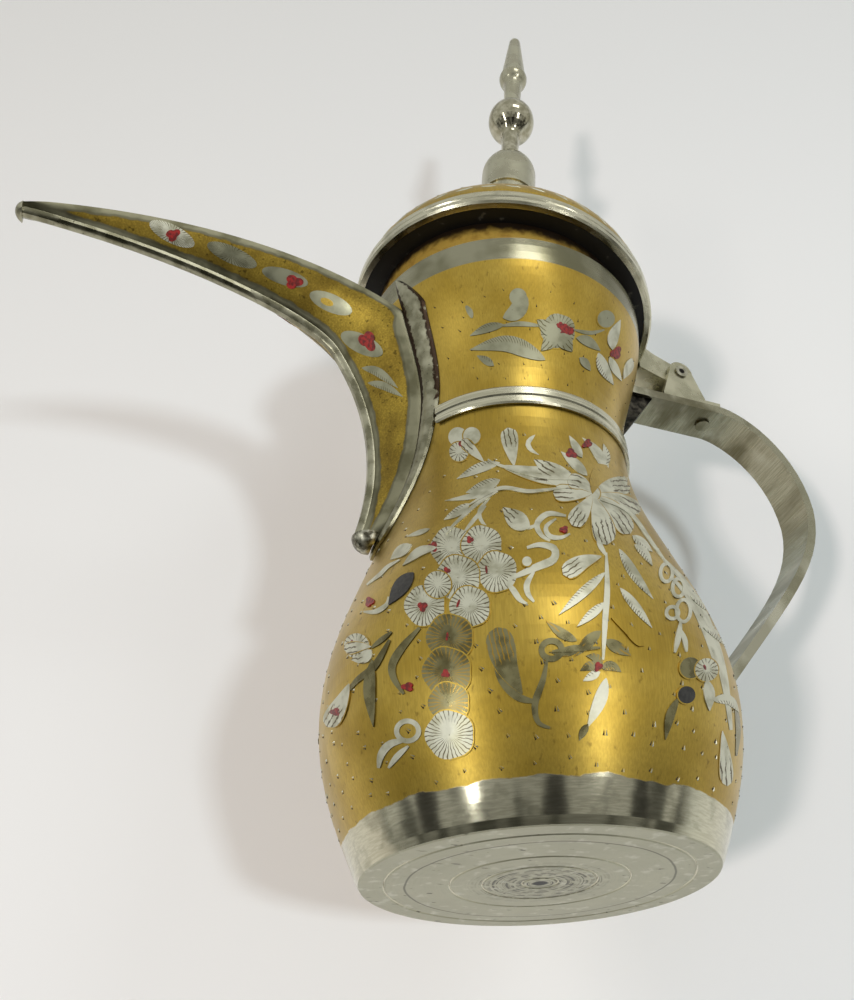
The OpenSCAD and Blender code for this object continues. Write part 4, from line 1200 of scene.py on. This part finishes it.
def lay_many(name, places, shape, finish, body, seed, spread):
    """Lays a shape on places, each a point, the wall's direction, a size and a turn; their sizes vary
    by the share spread. Makes one mesh."""
    material, slot = FINISHES[finish]
    spots, ways, sizes, turns = zip(*places)
    mesh = bpy.data.meshes.new(name)
    mesh.from_pydata(spots, [], [])
    facing = mesh.attributes.new("facing", "FLOAT_VECTOR", "POINT")
    facing.data.foreach_set("vector", [part for way in ways for part in way])
    for key, values in (("size", sizes), ("turn", turns)):
        mesh.attributes.new(key, "FLOAT", "POINT").data.foreach_set("value", values)
    made = placed(name, mesh)
    setting = made.modifiers.new("laying", "NODES")
    setting.node_group = laying_tree(f"{name}_laying")
    sockets = {item.name: item.identifier for item in setting.node_group.interface.items_tree
               if item.in_out == "INPUT"}
    for title, value in (("Shape", shape), ("Finish", material), ("Spread", spread), ("Seed", seed)):
        setting[sockets[title]] = value
    applied(made)
    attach(made, body)


dice = Random(7)
# Pricks of a graver, each a pit, a raised wedge painted dark as the nick's painted shade, and, on the belly,
# a burr
# thrown up beside it: lowest and highest on belly and neck, and distance between rows and within a row, in mm
BELLY_PRICKS, NECK_PRICKS, PRICK_ROW, PRICK_PITCH = (11, 106), (120, 151), 4.7, 6.2
# How far a prick strays upwards and round, as shares of those distances, and turns, in radians
UP_STRAY, ROUND_STRAY, PRICK_TURN = 0.25, 0.2, 0.25
# Half width, length and height of a burr and of a pit, and how far aside each lies, in mm
PRICK_SIZE, BURR_SHIFT, PIT_SHIFT = (0.34, 1.9, 0.2), 0.22, -0.28
# Room left beside the spout's flange and below its lower end, in mm
PRICK_ROOM, PRICK_BELOW = 1, 4
# How deep a laid shape reaches into the wall, in mm, and by what share the pricks' sizes vary
SUNK, PRICK_SPREAD = -0.2, 0.25


def pricks(low, high, full, thin):
    """Places on the pot's wall between two heights: what share of the grid is filled low down and
    high up. None lie under the spout."""
    places = []
    rows = int((high - low) / PRICK_ROW)
    for i in range(rows):
        count = int(2 * pi * body_r(low + i * PRICK_ROW) / PRICK_PITCH)
        for j in range(count):
            if dice.random() > lerp(full, thin, i / rows):
                continue
            z = low + (i + dice.uniform(-UP_STRAY, UP_STRAY)) * PRICK_ROW
            a = 2 * pi * (j + i % 2 / 2 + dice.uniform(-ROUND_STRAY, ROUND_STRAY)) / count
            spout_half = root_y(min(z, ROOT_Z)) + FLANGE_W + FLANGE_FLARE + PRICK_ROOM
            if z > TOE_Z - PRICK_BELOW and cos(a) < 0 and abs(body_r(z) * sin(a)) < spout_half:
                continue
            slope = body_r(z + 0.5) - body_r(z - 0.5)
            way = Vector((cos(a), sin(a), -slope)).normalized()
            places.append((wall_point(z, a), way, 1.0, dice.uniform(-PRICK_TURN, PRICK_TURN)))
    return places


def wedge(name, shift):
    """Three-sided spike lying on the wall, moved sideways by shift."""
    half, tall, high = PRICK_SIZE
    points = [
        (shift - half, -tall / 2, SUNK), (shift + half, -tall / 2, SUNK), (shift / 2, tall / 2, SUNK),
        (shift, -tall * 0.3, high),
    ]
    return shape_of(name, points, [(0, 1, 3), (1, 2, 3), (2, 0, 3), (2, 1, 0)])


burr, pit = wedge("burr", BURR_SHIFT), wedge("pit", PIT_SHIFT)
belly_places = pricks(*BELLY_PRICKS, 0.95, 0.3)
neck_places = pricks(*NECK_PRICKS, 0.6, 0.9)
lay_many("neck_cuts", neck_places, pit, "cut", "pot", 12, PRICK_SPREAD)
lay_many("belly_burrs", belly_places, burr, "silver", "pot", 11, PRICK_SPREAD)
lay_many("belly_cuts", belly_places, pit, "cut", "pot", 11, PRICK_SPREAD)

# Wreaths of leaves round the dome: angle up the dome, count, size, lean
WREATHS = ((9, 40, 0.8, 62), (24, 34, 0.95, -55), (44, 24, 1.1, 50))
# A leaf's length, width, height and radius of its bend over the dome, in mm, and divisions along it
LEAF_L, LEAF_W, LEAF_H, LEAF_BEND, LEAF_STEPS = 6.4, 2.6, 0.3, 30, 6


def lid_place():
    """The lid's own frame, drawn shut, turned about the pin as it rests."""
    pin = Matrix.Translation(Vector((PIN_X, 0, PIN_Z)) * MM)
    back_to_rim = Matrix.Translation(Vector((-PIN_X, 0, LID_Z - PIN_Z)) * MM)
    return pin @ Matrix.Rotation(radians(AJAR), 4, "Y") @ back_to_rim


def dome_leaves():
    """Places on the dome, in the pot's frame."""
    here = lid_place()
    places = []
    for up, count, size, lean in WREATHS:
        c, h = cos(radians(up)), sin(radians(up))
        for j in range(count):
            a = 2 * pi * j / count
            at = Vector((DOME_R * c * cos(a), DOME_R * c * sin(a), RIM_H + DOME_H * h))
            way = Vector((c / DOME_R * cos(a), c / DOME_R * sin(a), h / DOME_H)).normalized()
            places.append((here @ (at * MM), here.to_3x3() @ way, size, radians(lean)))
    return places


def leaf_shape():
    """Pointed leaf with a ridge along its middle, bent to the dome."""
    points = [(0, -LEAF_L / 2, 0)]
    for i in range(1, LEAF_STEPS):
        w = LEAF_W / 2 * sin(pi * (i / LEAF_STEPS) ** 0.8)
        y = -LEAF_L / 2 + LEAF_L * i / LEAF_STEPS
        points += [(-w, y, SUNK), (0, y, LEAF_H / 2), (w, y, SUNK)]
    points.append((0, LEAF_L / 2, 0))
    faces = []
    for a in range(1, 3 * LEAF_STEPS - 5, 3):
        faces += [(a, a + 1, a + 4, a + 3), (a + 1, a + 2, a + 5, a + 4), (a + 2, a, a + 3, a + 5)]
    end = len(points) - 1
    faces += [(0, 2, 1), (0, 3, 2), (0, 1, 3)]
    faces += [(end, end - 3, end - 2), (end, end - 2, end - 1), (end, end - 1, end - 3)]
    return shape_of("leaf", [(x, y, z - y * y / 2 / LEAF_BEND) for x, y, z in points], faces)


leaf = leaf_shape()
lay_many("dome_wreaths", dome_leaves(), leaf, "silver", "lid", 3, 0.08)
for spare in (burr, pit, leaf):
    bpy.data.objects.remove(spare)


# ---------------------------------------------------------------- stage
def flat(name, centre, normal, half, material):
    """Square sheet of the stage, facing along its normal."""
    mesh = bpy.data.meshes.new(name)
    side = normal.orthogonal().normalized()
    other = normal.cross(side)
    corners = [centre + half * (a * side + b * other) for a, b in ((-1, -1), (1, -1), (1, 1), (-1, 1))]
    mesh.from_pydata(corners, [], [(0, 1, 2, 3)])
    mesh.materials.append(material)
    made = placed(name, mesh)
    made.visible_shadow = False
    return made


def white_laminate():
    """White laminate, plain and satin, that shows only its front, so that it hides nothing seen
    from behind."""
    made, tree, shader, _ = finish_of("white_laminate", 0.5, 0.0)
    join(tree, shader, {"Base Color": "EFEFEC"})
    back = put(tree, "ShaderNodeNewGeometry").outputs["Backfacing"]
    shown = put(tree, "ShaderNodeMixShader", [back, shader, put(tree, "ShaderNodeBsdfTransparent")])
    join(tree, tree.nodes["Material Output"], [shown])
    return made


# Half width of board and floor, and how far the floor lies below the pot, in metres
STAGE_HALF, FLOOR_DROP = 3.0, 0.3
# The board stands behind the pot, just far enough from its belly for the open lid to clear it: its
# normal, a point of it that would touch the belly, and the gap left there, in mm
BOARD_FACE = Vector((-0.4185, -0.9075, -0.036)).normalized()
BOARD_TOUCH, BOARD_GAP = Vector((20.64, 44.88, 36)), 52

laminate = white_laminate()
flat("board_behind", (BOARD_TOUCH - BOARD_GAP * BOARD_FACE) * MM, BOARD_FACE, STAGE_HALF, laminate)
floor = flat("floor_below", Vector((0, 0, -FLOOR_DROP)) * MM, Vector((0, 0, 1)), STAGE_HALF, laminate)
floor.visible_diffuse = False
floor.visible_glossy = False


# Height of the place on the pot's axis that the lamps are aimed at, in metres
LIT_Z = 0.15
# Lamps light the surfaces, and windows show in the metal alone: direction by the camera's right, up
# and back, distance, width, height, watts and tint
LAMPS = {
    "lamp_right": (0.42, 0.12, 1.0, 1.3, 0.09, 0.09, 5.4, "E6F4FF"),
    "lamp_left": (-0.36, -0.02, 1.0, 1.3, 0.09, 0.09, 6.0, "FFF0EE"),
    "window_above": (0.3, 0.88, 0.4, 1.4, 0.5, 0.34, 2.4, "FFFFFF"),
    "lamp_far_left": (-1.1, 0.7, 1.0, 1.3, 0.36, 0.36, 2.9, "FFF4EC"),
    "lamp_far_right": (0.95, 0.8, 1.0, 1.3, 0.36, 0.36, 2.0, "F0F8FF"),
    "window_right": (0.58, 0.3, 0.79, 1.4, 0.13, 0.6, 2.6, "FFFFFF"),
    "window_left": (-0.58, 0.18, 0.79, 1.4, 0.12, 0.7, 2.7, "FFFFFF"),
}
for name, (right, up, back, distance, wide, high, watts, tint) in LAMPS.items():
    light = bpy.data.lights.new(name, "AREA")
    light.shape = "RECTANGLE"
    light.size, light.size_y = wide, high
    light.energy = watts
    light.color = hue(tint)[:3]
    lamp = placed(name, light)
    way = toward_camera(right, up, back)
    lamp.location = Vector((0, 0, LIT_Z)) + distance * way
    lamp.rotation_mode = "QUATERNION"
    lamp.rotation_quaternion = way.to_track_quat("Z", "Y")
    lamp.visible_glossy = name.startswith("window")
    lamp.visible_diffuse = not lamp.visible_glossy

# Dark things around the eye, seen only in the metal: right, up, back and half their size
DARK_THINGS = {
    "dark_room": (0.16, 0.06, 1.0, 0.12), "dark_door_left": (-0.85, -0.11, 0.51, 0.12),
    "dark_door_right": (0.83, -0.02, 0.56, 0.1),
}
# How far away they stand, and the height of the place that they surround, in metres
DARK_DISTANCE, DARK_Z = 1.2, 0.05
dark_cloth = enamel("dark_cloth", "24231F")
for name, (right, up, back, half) in DARK_THINGS.items():
    way = toward_camera(right, up, back)
    card = flat(name, Vector((0, 0, DARK_Z)) + DARK_DISTANCE * way, -way, half, dark_cloth)
    for ray in ("camera", "diffuse", "transmission", "shadow"):
        setattr(card, f"visible_{ray}", False)

# The room: even and pale for all but the metal, which sees a light ceiling, a dark floor and dim things
world = bpy.data.worlds.new("studio")
world.use_nodes = True
bpy.context.scene.world = world
sky = world.node_tree
way = put(sky, "ShaderNodeTexCoord").outputs["Generated"]
height = put(sky, SPLIT, [way]).outputs[2]
things = put(sky, NOISE, {"Vector": way, "Scale": 4.6, "Detail": 2.0})
dark = put(sky, RAMP, [things, 0.47, 0.56, 0, 0.85], interpolation_type="SMOOTHSTEP")
low_down = put(sky, RAMP, [height, 0.15, -0.25], interpolation_type="SMOOTHSTEP")
dim = put(sky, MATH, [dark, low_down], operation="MULTIPLY")
room = over(sky, "50504A", "F2F3EE", height, -0.9, 0.1)
room = put(sky, MIX, {0: dim, 6: room, 7: "33342C"}, data_type="RGBA")
in_metal = put(sky, "ShaderNodeLightPath").outputs["Is Glossy Ray"]
seen = put(sky, MIX, {0: in_metal, 6: "A8AAA6", 7: room}, data_type="RGBA")
join(sky, sky.nodes["Background"], {"Color": seen, "Strength": 0.7})

bpy.context.scene.view_settings.view_transform = "Standard"
